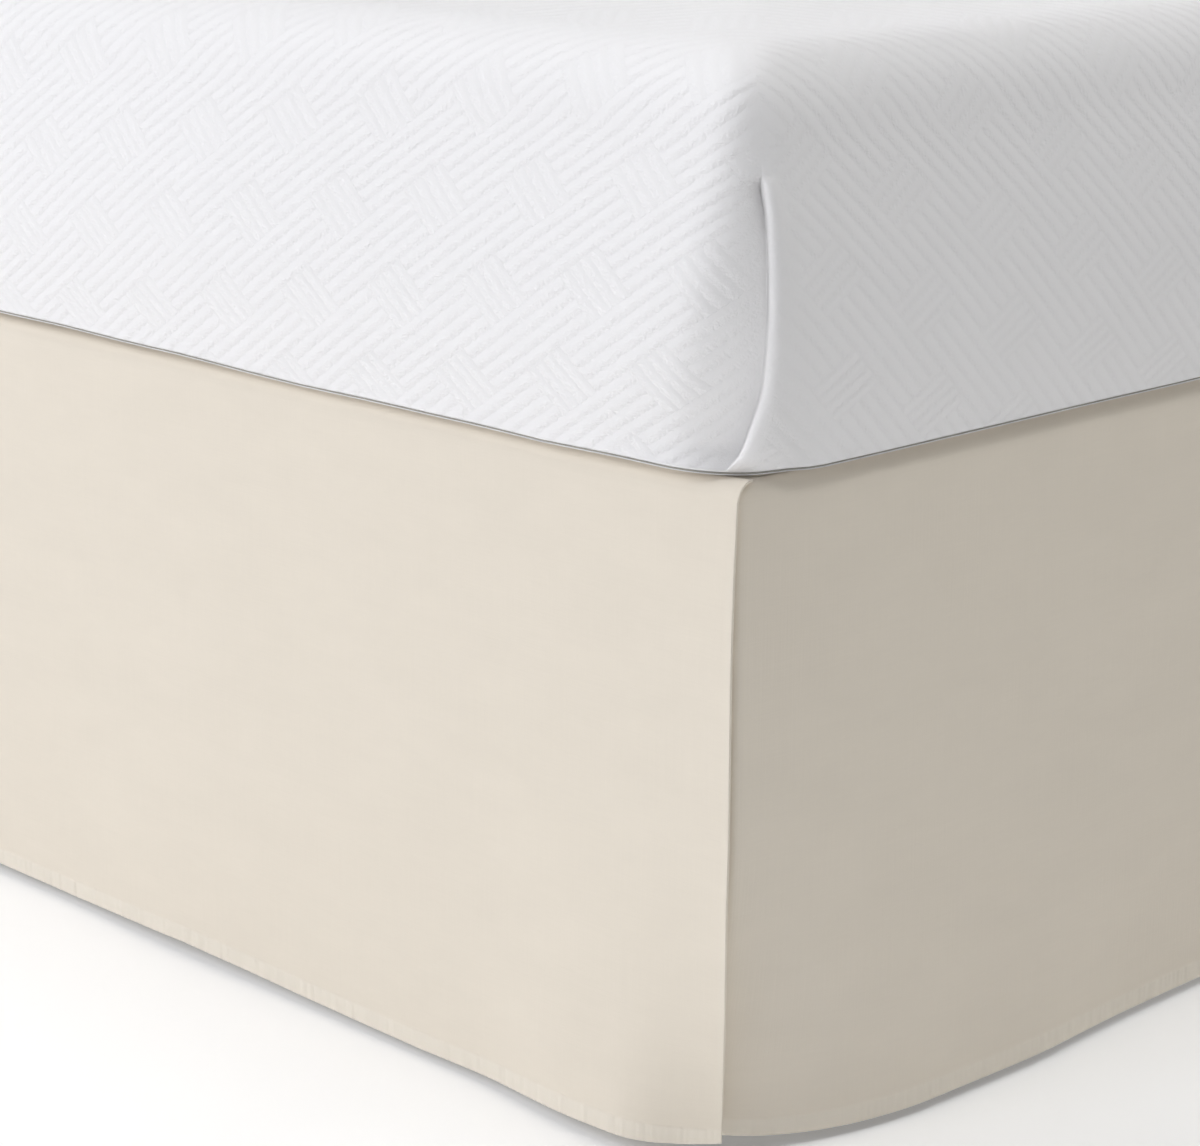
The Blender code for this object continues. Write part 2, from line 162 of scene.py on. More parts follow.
# Where the welt lies in the groove above the bottom edge: distance in from the side, and height.
WELT_INSET = 0.6 * MM
WELT_HEIGHT = 1.0 * MM
# The cover is drawn tight, so its ribs lie closer together down the sides. Past the top edge its pattern
# turns within this length from the one that lies flat to the one that is wrapped round the sides.
COVER_DRAW = 0.76
COVER_TURN = 25 * MM

# The fold of the mattress cover at each corner: its angle round the corner at heights above the floor, and
# the height where it ends. The columns beside it are closer together towards the fold.
FOLD_HEIGHTS = (0.392, 0.398, 0.406, 0.417, 0.435, 0.455, 0.480, 0.508, 0.530, 0.545, 0.60)
FOLD_ANGLES = (-54.2, -48.9, -45.4, -42.3, -37.2, -34.7, -32.4, -31.6, -32.2, -33.6, -35.0)
FOLD_TOP = 0.5455
FOLD_TIP_STEPS = np.array([-24.0, -18.0, -14.0, -9.0, -6.0, -4.0, -2.5, -1.2, 0.0, 1.5, 3.5]) * MM
# Distances below the fold's end, and there: how far the cloth is tucked in before the fold and over what
# width, the depth of the crease beside the roll, how far the cloth stands out after it, the half width of
# its roll, and over what width it falls back.
FOLD_PLACES = np.array([-3, 0, 5, 12, 30, 80, 130, 150, 163]) * MM
FOLD_TUCKS = np.array([0, 4.2, 5.8, 4.2, 2.4, 6.0, 9.5, 7.5, 3.0]) * MM
FOLD_TUCK_WIDTHS = np.array([4, 5, 6, 6.5, 9.5, 34, 50, 52, 48]) * MM
FOLD_CREASES = np.array([0, 0.5, 1.6, 1.4, 0.5, 0.0, 0.0, 0.0, 0.0]) * MM
FOLD_CREASE_WIDTH = 1.4 * MM
FOLD_RISES = np.array([0, 3.2, 4.2, 4.3, 4.5, 4.6, 4.8, 4.8, 4.6]) * MM
FOLD_ROLLS = np.array([2.2, 3.2, 3.3, 3.4, 3.6, 4.2, 5.4, 6.0, 6.0]) * MM
FOLD_FALLS = np.array([3, 4, 5, 6, 8, 12, 15, 16, 16]) * MM
# The ribs are pulled flat within this distance of the fold.
FOLD_SMOOTH = 13 * MM
FOLD_COLUMNS = np.array([0.0, 0.012, 0.025, 0.04, 0.06, 0.085, 0.13, 0.20, 0.30, 0.43, 0.60, 0.80, 1.0])

# The cloth isn't quite smooth: heights and wave lengths of its broad and fine ripples, and of the deck's.
RIPPLE, RIPPLE_LENGTHS = 0.22 * MM, (0.31, 0.19, 0.13)
FINE_RIPPLE, FINE_RIPPLE_LENGTHS = 0.05 * MM, (0.047, 0.031)
DECK_RIPPLE, DECK_RIPPLE_LENGTHS = 0.12 * MM, (0.29, 0.17, 0.11)
DECK_RIPPLE_FADE = 50 * MM
# The deck comes down from the seams between these distances from its edge.
DECK_SEAM_REACH = (16 * MM, 36 * MM)
# The ripples and creases start below the shoulder, over this depth.
HANG_REACH = 40 * MM

# Where the creases of the hanging cloth lie: place along the panel, depth below the platform, slope in
# degrees, half length, half width and height. A negative height is a trough.
Crease = namedtuple("Crease", "place depth slope length width height")
FOOT_CREASES = (
    Crease(0.30, 0.190, 8, 0.16, 0.022, 0.35 * MM),
    Crease(0.22, 0.245, 14, 0.14, 0.020, -0.30 * MM),
    Crease(0.47, 0.230, 5, 0.15, 0.024, 0.30 * MM),
    Crease(0.60, 0.120, -18, 0.12, 0.020, -0.25 * MM),
    Crease(0.42, 0.330, 20, 0.13, 0.022, -0.35 * MM),
    Crease(0.24, 0.350, 26, 0.10, 0.018, 0.30 * MM),
)
SIDE_CREASES = (
    Crease(1.90, 0.215, -6, 0.17, 0.026, 0.55 * MM),
    Crease(1.74, 0.185, -3, 0.15, 0.022, 0.35 * MM),
    Crease(1.91, 0.300, -10, 0.13, 0.024, -0.45 * MM),
    Crease(1.80, 0.330, -16, 0.12, 0.020, 0.40 * MM),
    Crease(1.72, 0.120, 4, 0.15, 0.022, -0.30 * MM),
    Crease(1.86, 0.350, 12, 0.08, 0.014, 0.30 * MM),
)

# A panel: where it starts, its heading there, its outward side, the paths of its seam, face and hem, the
# length that they share, how far it goes on past its corner, and how it curls, bulges, rises and laps.
Panel = namedtuple(
    "Panel",
    "start heading outward seam face hem shared beyond"
    " face_offset seam_rise curl_ease bulge bulge_at hem_rise lap",
)

SHOULDER_STEPS = 7
ROW_SPACING = 7 * MM
FINE_COLUMN = 4 * MM
WIDE_COLUMN = 9 * MM
FINE_REACH = 0.36

# A stitch: share of its length, share of the thread's radius, and height in radii, from end to end.
STITCH_SHAPE = (
    (0.0, 0.35, -0.6), (0.18, 0.9, -0.05), (0.5, 1.0, 0.25), (0.82, 0.9, -0.05), (1.0, 0.35, -0.6)
)
STITCH_SIDES = 5
# How far the stitches run below the hem's upper edge.
STITCH_INSET = 1.5 * MM
STITCH_GROOVE = 0.06 * MM
STITCH_GROOVE_WIDTH = 1.1 * MM

# The floor is divided at these distances out from its middle, and lies this far below the legs. Its own
# light grows between two distances, and the backdrop's fades up to this sine of the angle above the floor.
FLOOR_SPANS = (0.0, 0.7, 1.4, 3.0, 8.0, 30.0)
FLOOR_GAP = 0.2 * MM
FLOOR_GLOW_REACH = (1.9, 6.0)
BACKDROP_HEIGHT = 0.22


# Numbers and colours.


def ease(value):
    """0 to 1 with a level start and end."""
    value = np.clip(value, 0.0, 1.0)
    return value * value * (3 - 2 * value)


def linear(code):
    """An sRGB hex code as linear red, green and blue."""
    values = [int(code[i:i + 2], 16) / 255 for i in (1, 3, 5)]
    return [v / 12.92 if v <= 0.04045 else ((v + 0.055) / 1.055) ** 2.4 for v in values]


def undulation(across, along, lengths, seed):
    """A smooth uneven field, about -1 to 1, with these wave lengths in metres."""
    total = np.zeros(np.broadcast(across, along).shape)
    for i, length in enumerate(lengths):
        turn = 2.399963 * (seed + 1.7 * i)
        phase = 5.1 * (seed + i) + 2.3
        total += np.sin(
            2 * math.pi * (across * math.cos(turn) + along * math.sin(turn)) / length + phase
        )
    return total / math.sqrt(len(lengths))


# Meshes.


def mesh_object(name, points, faces, uv, materials, doubled=None):
    """A smooth object from points, faces as index lists, and one UV pair in metres for each point."""
    mesh = bpy.data.meshes.new(name)
    mesh.from_pydata([tuple(p) for p in points], [], faces)
    for material in materials:
        mesh.materials.append(material)
    layer = mesh.uv_layers.new(name="cloth")
    corners = np.empty(len(mesh.loops), dtype=np.int32)
    mesh.loops.foreach_get("vertex_index", corners)
    layer.data.foreach_set("uv", np.asarray(uv, dtype=np.float32)[corners].ravel())
    if doubled is not None:
        attribute = mesh.attributes.new("doubled", "FLOAT", "POINT")
        attribute.data.foreach_set("value", np.asarray(doubled, dtype=np.float32))
    mesh.shade_smooth()
    mesh.validate()
    obj = bpy.data.objects.new(name, mesh)
    bpy.context.scene.collection.objects.link(obj)
    return obj


def band_faces(rings, count, closed=False):
    """Quads between rings of this many points, from each to the next, and back to the first if closed."""
    faces = []
    for ring in range(rings if closed else rings - 1):
        low, high = ring * count, (ring + 1) % rings * count
        for i in range(count):
            j = (i + 1) % count
            faces.append([low + i, low + j, high + j, high + i])
    return faces


def grid_faces(columns, rows):
    """Quads of an open grid whose points run up each column in turn."""
    lows = [i * rows + j for i in range(columns - 1) for j in range(rows - 1)]
    return [[low, low + rows, low + rows + 1, low + 1] for low in lows]


def travelled(line):
    """Distance to each point round a closed line."""
    steps = np.linalg.norm(np.diff(line, axis=0, append=line[:1]), axis=1)
    return np.concatenate([[0.0], np.cumsum(steps)[:-1]])


def outward_faces(points, faces):
    """The same faces, turned to face outward if the closed body they bound is inside out."""
    points = np.asarray(points)
    volume = 0.0
    for size in {len(face) for face in faces}:
        corners = points[np.array([face for face in faces if len(face) == size])]
        for i in range(1, size - 1):
            turned = np.cross(corners[:, i], corners[:, i + 1])
            volume += np.einsum("ij,ij->", corners[:, 0], turned)
    return faces if volume > 0 else [face[::-1] for face in faces]


def unit(vectors):
    return vectors / np.maximum(np.linalg.norm(vectors, axis=-1, keepdims=True), 1e-12)


# Hanging panels.


def direction(angle):
    return np.array([math.cos(angle), math.sin(angle)])


def walk(start, heading, sections, distance):
    """Point and heading after this distance along straight and curved sections."""
    point = np.array(start)
    heading = math.radians(heading)
    for length, turn in sections:
        step = min(distance, length)
        angle = math.radians(turn) * step / length
        if angle:
            radius = step / angle
            across = heading - math.pi / 2
            point = point + radius * (direction(across + angle) - direction(across))
        else:
            point = point + step * direction(heading)
        heading += angle
        distance -= step
    return point, heading


def path_length(sections):
    return sum(length for length, _ in sections)


def place_on(panel, sections, distance):
    """Point and heading on one of the panel's paths. Past what they share, their lengths are matched."""
    shared = panel.shared
    if distance > shared:
        tail = path_length(panel.face) - shared
        distance = shared + (distance - shared) * (path_length(sections) - shared) / tail
    return walk(panel.start, panel.heading, sections, distance)


def hem_wave(distance, phase):
    return sum(
        share * math.sin(2 * math.pi * (distance / length + turn + phase))
        for length, turn, share in HEM_WAVES
    )


def side_panel():
    corner = BASE_CORNER_RADIUS + SIDE_FACE_OFFSET
    turn_start = BED_LENGTH - BASE_CORNER_RADIUS - HEAD_END_INSET
    curl_start = turn_start + corner - SIDE_CURL_LENGTH
    seam = ((turn_start, 0), (corner * math.pi / 2, -90), (SIDE_RETURN, 0))
    flat = turn_start + corner - path_length(SIDE_CORNER[:2]) - SIDE_CORNER_PLACE
    face = ((flat, 0), *SIDE_CORNER, (SIDE_RETURN, 0))
    hem = ((curl_start, 0), *SIDE_HEM_CURL)
    start = (HALF_WIDTH + SIDE_FACE_OFFSET, HEAD_Y - HEAD_END_INSET)
    return Panel(
        start, -90, 1, seam, face, hem, curl_start, SIDE_RETURN, SIDE_FACE_OFFSET, SIDE_SEAM_RISE,
        SIDE_CURL_EASE, SIDE_BULGE, SIDE_BULGE_PLACE, 0.0, 0.0,
    )


def foot_panel():
    curl_start = HALF_WIDTH - FOOT_CURL_LENGTH
    face = seam = ((HALF_WIDTH - FOOT_END_INSET, 0),)
    hem = ((curl_start, 0), *FOOT_HEM_CURL)
    start = (0.0, FOOT_Y - FOOT_FACE_OFFSET)
    return Panel(
        start, 0, -1, seam, face, hem, curl_start, 0.0, FOOT_FACE_OFFSET, FOOT_SEAM_RISE,
        FOOT_CURL_EASE, FOOT_BULGE, FOOT_BULGE_PLACE, 1.0, 1.0,
    )


def panel_depths(sizes):
    """Depths of the rows below the shoulder, close together where the hem is turned up and stitched."""
    last = SKIRT_DROP - sizes.hem_thickness / 2
    fold = SKIRT_DROP - sizes.hem_depth
    count = round((fold - 3 * MM - SHOULDER_HEIGHT) / ROW_SPACING)
    face = np.linspace(SHOULDER_HEIGHT, fold - 3 * MM, count, endpoint=False)
    hem = fold + np.array([-3.0, -1.2, 0.0, 1.0, 1.7, 2.4, 3.6, 6.5]) * MM
    return np.concatenate([face, hem, [last - 1.2 * MM, last]])


def panel_distances(panel, sizes):
    """Distances of the columns along the panel, close together near its corner and in its side hem."""
    end = path_length(panel.face)
    hem = sizes.side_hem_width
    fine = end - FINE_REACH
    wide = np.linspace(4 * hem, fine, round(fine / WIDE_COLUMN), endpoint=False)
    near = np.linspace(fine, end - hem - MM, round(FINE_REACH / FINE_COLUMN), endpoint=False)
    last = end - hem + np.array([-1.0, 0.0, 1.0, 2.0]) * MM
    start = [0.0, hem - MM, hem, hem + MM, 2 * hem, 3 * hem]
    return np.concatenate([start, wide, near, last, [end - MM, end]])


def hang(panel, distances, depths, phase):
    """Points of the panel's middle surface, one row of points down each thread."""
    free = np.maximum(depths - FREE_DEPTH, 0.0) / (SKIRT_DROP - FREE_DEPTH)
    curl = free ** panel.curl_ease
    loose = BACKED_SWING * ease(depths / FREE_DEPTH) + (1 - BACKED_SWING) * curl
    angle = np.radians(90 * np.arange(SHOULDER_STEPS) / SHOULDER_STEPS)
    blend = ease(np.arange(SHOULDER_STEPS) / SHOULDER_STEPS * SHOULDER_BLEND)[:, None]
    inset = (SEAM_INSET + panel.face_offset) * (1 - np.sin(angle))
    fall = SHOULDER_HEIGHT * (1 - np.cos(angle))
    side = panel.outward * math.pi / 2
    end = path_length(panel.face)
    columns = []
    for distance in distances:
        seam, seam_heading = place_on(panel, panel.seam, distance)
        face, heading = place_on(panel, panel.face, distance)
        hem, _ = place_on(panel, panel.hem, distance)
        out = direction(heading + side)
        near = (end - panel.bulge_at - distance) / BULGE_HALF_WIDTH
        swing = HEM_SWING * hem_wave(distance, phase) + panel.bulge * math.exp(-near * near)
        lap = panel.lap * ease(1 - (end - distance) / LAP_FADE) * np.interp(depths, LAP_DEPTHS, LAP_OFFSETS)
        lap = np.outer(lap, direction(heading))
        top = (seam - np.outer(inset, direction(seam_heading + side))) * (1 - blend)
        top += (face + lap[0] - np.outer(inset, out)) * blend
        rise = panel.seam_rise + CORNER_RISE * ease(1 - (end - panel.beyond - distance) / CORNER_REACH)
        top_z = PLATFORM_TOP + rise * (1 - 0.4 * fall / SHOULDER_HEIGHT) - fall
        line = face + np.outer(curl, hem - face) + np.outer(swing * loose, out) + lap
        aside = np.linalg.norm(np.diff(line, axis=0), axis=1)
        drop = np.sqrt(np.maximum(np.diff(depths) ** 2 - aside ** 2, 0.0))
        z = PLATFORM_TOP - SHOULDER_HEIGHT - np.concatenate([[0.0], np.cumsum(drop)])
        z += panel.hem_rise * np.interp(distance, HEM_PLACES, HEM_RISES) * (depths / SKIRT_DROP) ** 3
        columns.append(np.column_stack([np.concatenate([top, line]), np.concatenate([top_z, z])]))
    return np.array(columns)


def surface_normals(middle, outward):
    """Unit normals of a grid of points, on the side that faces away from the bed."""
    across = np.gradient(middle, axis=0)
    down = np.gradient(middle, axis=1)
    return unit(np.cross(down, across)) * outward


def crease_field(distances, depths, creases):
    """How far the creases lift the cloth from its smooth hang."""
    place, depth = np.meshgrid(distances, depths, indexing="ij")
    field = np.zeros(place.shape)
    for crease in creases:
        slope = math.radians(crease.slope)
        east, south = place - crease.place, depth - crease.depth
        along = (east * math.cos(slope) + south * math.sin(slope)) / crease.length
        aside = (south * math.cos(slope) - east * math.sin(slope)) / crease.width
        field += crease.height * np.exp(-aside ** 2 - along ** 4)
    return field


def dress(middle, normals, distances, thread, sizes, creases, seed):
    """The hanging surface with its creases and small unevenness, and the cloth's thickness at each point."""
    depth = thread[None, :]
    place = distances[:, None]
    hanging = ease((depth - SHOULDER_HEIGHT) / HANG_REACH)
    free = ease((depth - FREE_DEPTH * 0.6) / (120 * MM))
    lift = crease_field(distances, thread, creases) * sizes.crease_strength * hanging
    lift += RIPPLE * undulation(place, depth, RIPPLE_LENGTHS, seed) * hanging * (0.35 + free)
    lift += FINE_RIPPLE * undulation(place, 0.35 * depth, FINE_RIPPLE_LENGTHS, seed + 3) * hanging
    fold = SKIRT_DROP - sizes.hem_depth
    lift -= STITCH_GROOVE * np.exp(-((depth - fold - STITCH_INSET) / STITCH_GROOVE_WIDTH) ** 2)
    end = distances[-1]
    edge = np.minimum(place - distances[0], end - place)
    hem = ease((depth - fold) / (2.0 * MM))
    side_hem = 1 - ease((edge - sizes.side_hem_width + 4.0 * MM) / (5.0 * MM))
    # This share also sets how much of the hems' painted lighter tone shows, which is painted light.
    doubled = np.maximum(hem, 0.3 * side_hem * hanging)
    thickness = sizes.cloth_thickness + (sizes.hem_thickness - sizes.cloth_thickness) * doubled
    return middle + normals * lift[..., None], thickness, doubled


def cloth_body(name, middle, normals, thickness, distances, thread, doubled, materials):
    """A closed sheet round a grid of middle points, with a rounded fold along its hem."""
    columns, rows = middle.shape[:2]
    half = thickness[..., None] / 2
    outer, inner = middle + normals * half, middle - normals * half
    down = unit(middle[:, -1] - middle[:, -2])
    arc = [
        middle[:, -1] + half[:, -1] * (normals[:, -1] * math.cos(a) + down * math.sin(a))
        for a in (math.pi / 4, math.pi / 2, 3 * math.pi / 4)
    ]
    ring = np.concatenate([outer, np.stack(arc, axis=1), inner[:, ::-1]], axis=1)
    count = ring.shape[1]
    ring_thread = np.concatenate([thread, [thread[-1]] * 3, thread[::-1]])
    uv = np.stack(np.broadcast_arrays(distances[:, None], -ring_thread[None, :]), axis=-1)
    ring_doubled = np.concatenate(
        [doubled, np.repeat(doubled[:, -1:], 3, axis=1), doubled[:, ::-1]], axis=1
    )
    points = ring.reshape(-1, 3)
    faces = band_faces(columns, count)
    for c, turn in ((0, -1), (columns - 1, 1)):
        low = c * count
        for j in range(rows - 1):
            cap = [low + j, low + j + 1, low + count - 2 - j, low + count - 1 - j]
            faces.append(cap[::turn])
        faces.append([low + rows - 1 + i for i in range(5)][::turn])
    faces = outward_faces(points, faces)
    return mesh_object(
        name, points, faces, uv.reshape(-1, 2), materials, ring_doubled.ravel()
    )


def stitch_row(name, middle, normals, thickness, distances, thread, depth, sizes, material):
    """A row of thread stitches that lies in its own groove on the outside of a panel's hem."""
    row = int(np.searchsorted(thread, depth)) - 1
    share = (depth - thread[row]) / (thread[row + 1] - thread[row])
    outside = middle + normals * thickness[..., None] / 2
    line = outside[:, row] * (1 - share) + outside[:, row + 1] * share
    lift = normals[:, row]
    pitch = sizes.stitch_length + sizes.stitch_gap
    starts = np.arange(distances[0] + 4 * MM, distances[-1] - 4 * MM, pitch)
    down = np.array([0.0, 0.0, -1.0])
    points, uv = [], []
    for part, size, rise in STITCH_SHAPE:
        at = starts + part * sizes.stitch_length
        centre = np.stack([np.interp(at, distances, line[:, axis]) for axis in range(3)], axis=1)
        normal = unit(np.stack([np.interp(at, distances, lift[:, axis]) for axis in range(3)], axis=1))
        centre += normal * rise * sizes.thread_radius
        for side in range(STITCH_SIDES):
            angle = 2 * math.pi * side / STITCH_SIDES
            around = normal * math.cos(angle) + down * math.sin(angle)
            points.append(centre + sizes.thread_radius * size * around)
            uv.append(np.column_stack([at, np.full(len(at), 0.1 * MM * side - depth)]))
    count = len(STITCH_SHAPE) * STITCH_SIDES
    points = np.stack(points, axis=1).reshape(-1, 3)
    uv = np.stack(uv, axis=1).reshape(-1, 2)
    one = band_faces(len(STITCH_SHAPE), STITCH_SIDES)
    one.append(list(range(STITCH_SIDES))[::-1])
    one.append(list(range(count - STITCH_SIDES, count)))
    faces = [[first + k for k in face] for first in range(0, len(points), count) for face in one]
    faces = outward_faces(points, faces)
    return mesh_object(name, points, faces, uv, [material])


def build_panel(name, panel, phase, creases, seed, both_halves=False, mirror=False):
    """A drop panel and its row of stitches. The foot panel is built as one half and its mirror image."""
    sizes, _ = settings()
    distances = panel_distances(panel, sizes)
    depths = panel_depths(sizes)
    if both_halves:
        distances = distances[distances > 4 * sizes.side_hem_width - MM]
        half = np.concatenate([np.arange(0.0, distances[0] - MM, WIDE_COLUMN), distances])
        right = hang(panel, half, depths, phase)
        left = right[:0:-1] * np.array([-1.0, 1.0, 1.0])
        middle = np.concatenate([left, right])
        distances = np.concatenate([-half[:0:-1], half])
    else:
        middle = hang(panel, distances, depths, phase)
    if mirror:
        middle = middle * np.array([-1.0, 1.0, 1.0])
    outward = -panel.outward if mirror else panel.outward
    steps = np.linalg.norm(np.diff(middle[len(middle) // 2], axis=0), axis=1)
    thread = np.concatenate([[0.0], np.cumsum(steps)])
    thread += SHOULDER_HEIGHT - thread[SHOULDER_STEPS]
    normals = surface_normals(middle, outward)
    middle, thickness, doubled = dress(middle, normals, distances, thread, sizes, creases, seed)
    normals = surface_normals(middle, outward)
    body = cloth_body(
        name, middle, normals, thickness, distances, thread, doubled, [cotton_material()]
    )
    stitches = stitch_row(
        f"{name}_stitches", middle, normals, thickness, distances, thread,
        SKIRT_DROP - sizes.hem_depth + STITCH_INSET, sizes, thread_material(),
    )
    return body, stitches


# Rounded blocks.


def block_ring(half_x, half_y, radius, z, steps, counts):
    """Points and outward directions round a rounded rectangle. Its long and its short straight runs are
    divided into counts."""
    points, outs = [], []
    corners = ((1, -1, -90), (1, 1, 0), (-1, 1, 90), (-1, -1, 180))
    for index, (side_x, side_y, first) in enumerate(corners):
        centre = np.array([side_x * (half_x - radius), side_y * (half_y - radius)])
        for step in range(steps + 1):
            angle = math.radians(first + 90 * step / steps)
            out = np.array([math.cos(angle), math.sin(angle)])
            points.append(centre + radius * out)
            outs.append(out)
        next_x, next_y, _ = corners[(index + 1) % 4]
        next_centre = np.array([next_x * (half_x - radius), next_y * (half_y - radius)])
        count = counts[(index + 1) % 2]
        for step in range(1, count):
            points.append(centre + radius * out + (next_centre - centre) * step / count)
            outs.append(out)
    points = np.array(points)
    ring = np.column_stack([points[:, 0], points[:, 1] + BED_CENTRE_Y, np.full(len(points), z)])
    return ring, np.array(outs)


def quarter(radius, steps):
    """Inset and height left at each step of a quarter round, from its vertical end to its level end."""
    angles = np.radians(90 * np.arange(steps + 1) / steps)
    return list(zip(radius * (1 - np.cos(angles)), radius * (1 - np.sin(angles))))


def stacked(name, rings, uv, materials, doubled=None):
    """A closed body through rings of equal count, from the bottom one to the top one."""
    count = len(rings[0])
    last = (len(rings) - 1) * count
    faces = [list(range(count))[::-1], *band_faces(len(rings), count), list(range(last, last + count))]
    return mesh_object(name, np.concatenate(rings), faces, np.concatenate(uv), materials, doubled)


def edge_rise(x, y):
    """How far the mattress's bottom edge stands up at this place out from the bed's middle."""
    past_corner = np.maximum(BED_LENGTH / 2 + MATTRESS_OVERHANG - MATTRESS_CORNER_RADIUS - np.abs(y), 0)
    return np.interp(np.abs(x) + past_corner, EDGE_PLACES, EDGE_RISES)


def fold_profile(from_fold, past, below):
    """How far the cover stands out beside a corner fold, at a distance below the fold's end: before it the
    cloth is tucked in, and after it the cloth rolls over and lies on top."""
    tuck, width, crease, rise, roll, fall = (
        np.interp(below, FOLD_PLACES, values)
        for values in (FOLD_TUCKS, FOLD_TUCK_WIDTHS, FOLD_CREASES, FOLD_RISES, FOLD_ROLLS, FOLD_FALLS)
    )
    before = -tuck * np.exp(-(from_fold / width) ** 2)
    before -= crease * np.exp(-(from_fold / FOLD_CREASE_WIDTH) ** 2)
    rolled = np.sqrt(1 - (1 - np.minimum(from_fold / roll, 1)) ** 2)
    after = rise * rolled * np.exp(-(np.maximum(from_fold - roll, 0) / fall) ** 1.4)
    return np.where(past, after, before)


def mattress_quarter(half_x, half_y, radius, fold_angle):
    """A quarter of a ring, from the middle of the foot to the middle of the right side: points, outward
    directions, distance from the corner fold, whether past it, and place along the wrapped cover."""
    foot = np.linspace(0, half_x - radius, 25)[:-1]
    side = np.linspace(-(half_y - radius), 0, 20)[1:]
    turn = math.radians(fold_angle)
    before = turn - (turn + math.pi / 2) * FOLD_COLUMNS[::-1]
    after = turn * (1 - FOLD_COLUMNS)
    angles = np.concatenate([before, after])
    past = np.arange(len(angles)) >= len(before)
    arc = np.column_stack([np.cos(angles), np.sin(angles)])
    centre = np.array([half_x - radius, radius - half_y])
    points = np.concatenate(
        [
            np.column_stack([foot, np.full(len(foot), -half_y)]),
            centre + radius * arc,
            np.column_stack([np.full(len(side), half_x), side]),
        ]
    )
    outs = np.concatenate([np.tile([0.0, -1.0], (len(foot), 1)), arc, np.tile([1.0, 0.0], (len(side), 1))])
    from_fold = np.concatenate(
        [
            half_x - radius - foot + radius * (turn + math.pi / 2),
            radius * np.abs(angles - turn),
            side + half_y - radius - radius * turn,
        ]
    )
    past = np.concatenate([np.zeros(len(foot), bool), past, np.ones(len(side), bool)])
    along = np.concatenate(
        [
            foot,
            np.where(
                past[len(foot):len(foot) + len(angles)],
                radius - half_y + radius * angles,
                half_x - radius + radius * (angles + math.pi / 2),
            ),
            side,
        ]
    )
    return points, outs, from_fold, past, along


def all_round(values, mirrored=True):
    """A quarter's values carried on round the whole ring, mirrored at each side if they are places."""
    return np.concatenate([
        (values * [x, y] if mirrored else values)[::order][:-1]
        for x, y, order in ((1, 1, 1), (1, -1, -1), (-1, -1, 1), (-1, 1, -1))
    ])


def mattress_levels():
    """(distance in from the side, height) of the mattress's rings, from the middle of its underside to the
    middle of its top."""
    levels = [tuple(level) for level in BOTTOM_EDGE]
    low, high = levels[-1][1], MATTRESS_TOP - MATTRESS_TOP_EDGE - MATTRESS_BOTTOM
    heights = low + (high - low) * np.linspace(0, 1, MATTRESS_SIDE_ROWS + 1)[1:-1]
    tip = FOLD_TOP - MATTRESS_BOTTOM + FOLD_TIP_STEPS
    heights = [h for h in heights if np.abs(tip - h).min() > 2.5 * MM]
    for height in sorted([*heights, *tip]):
        share = (height - low) / (high - low)
        levels.append((-MATTRESS_SWELL * math.sin(math.pi * share), height))
    levels += [(i, MATTRESS_TOP - MATTRESS_BOTTOM - h) for i, h in quarter(MATTRESS_TOP_EDGE, 12)]
    for inset in TOP_INSETS:
        crown = MATTRESS_CROWN * float(np.interp(inset, CROWN_INSETS, CROWN_SHARES))
        levels.append((inset, MATTRESS_TOP - MATTRESS_BOTTOM + crown))
    return levels


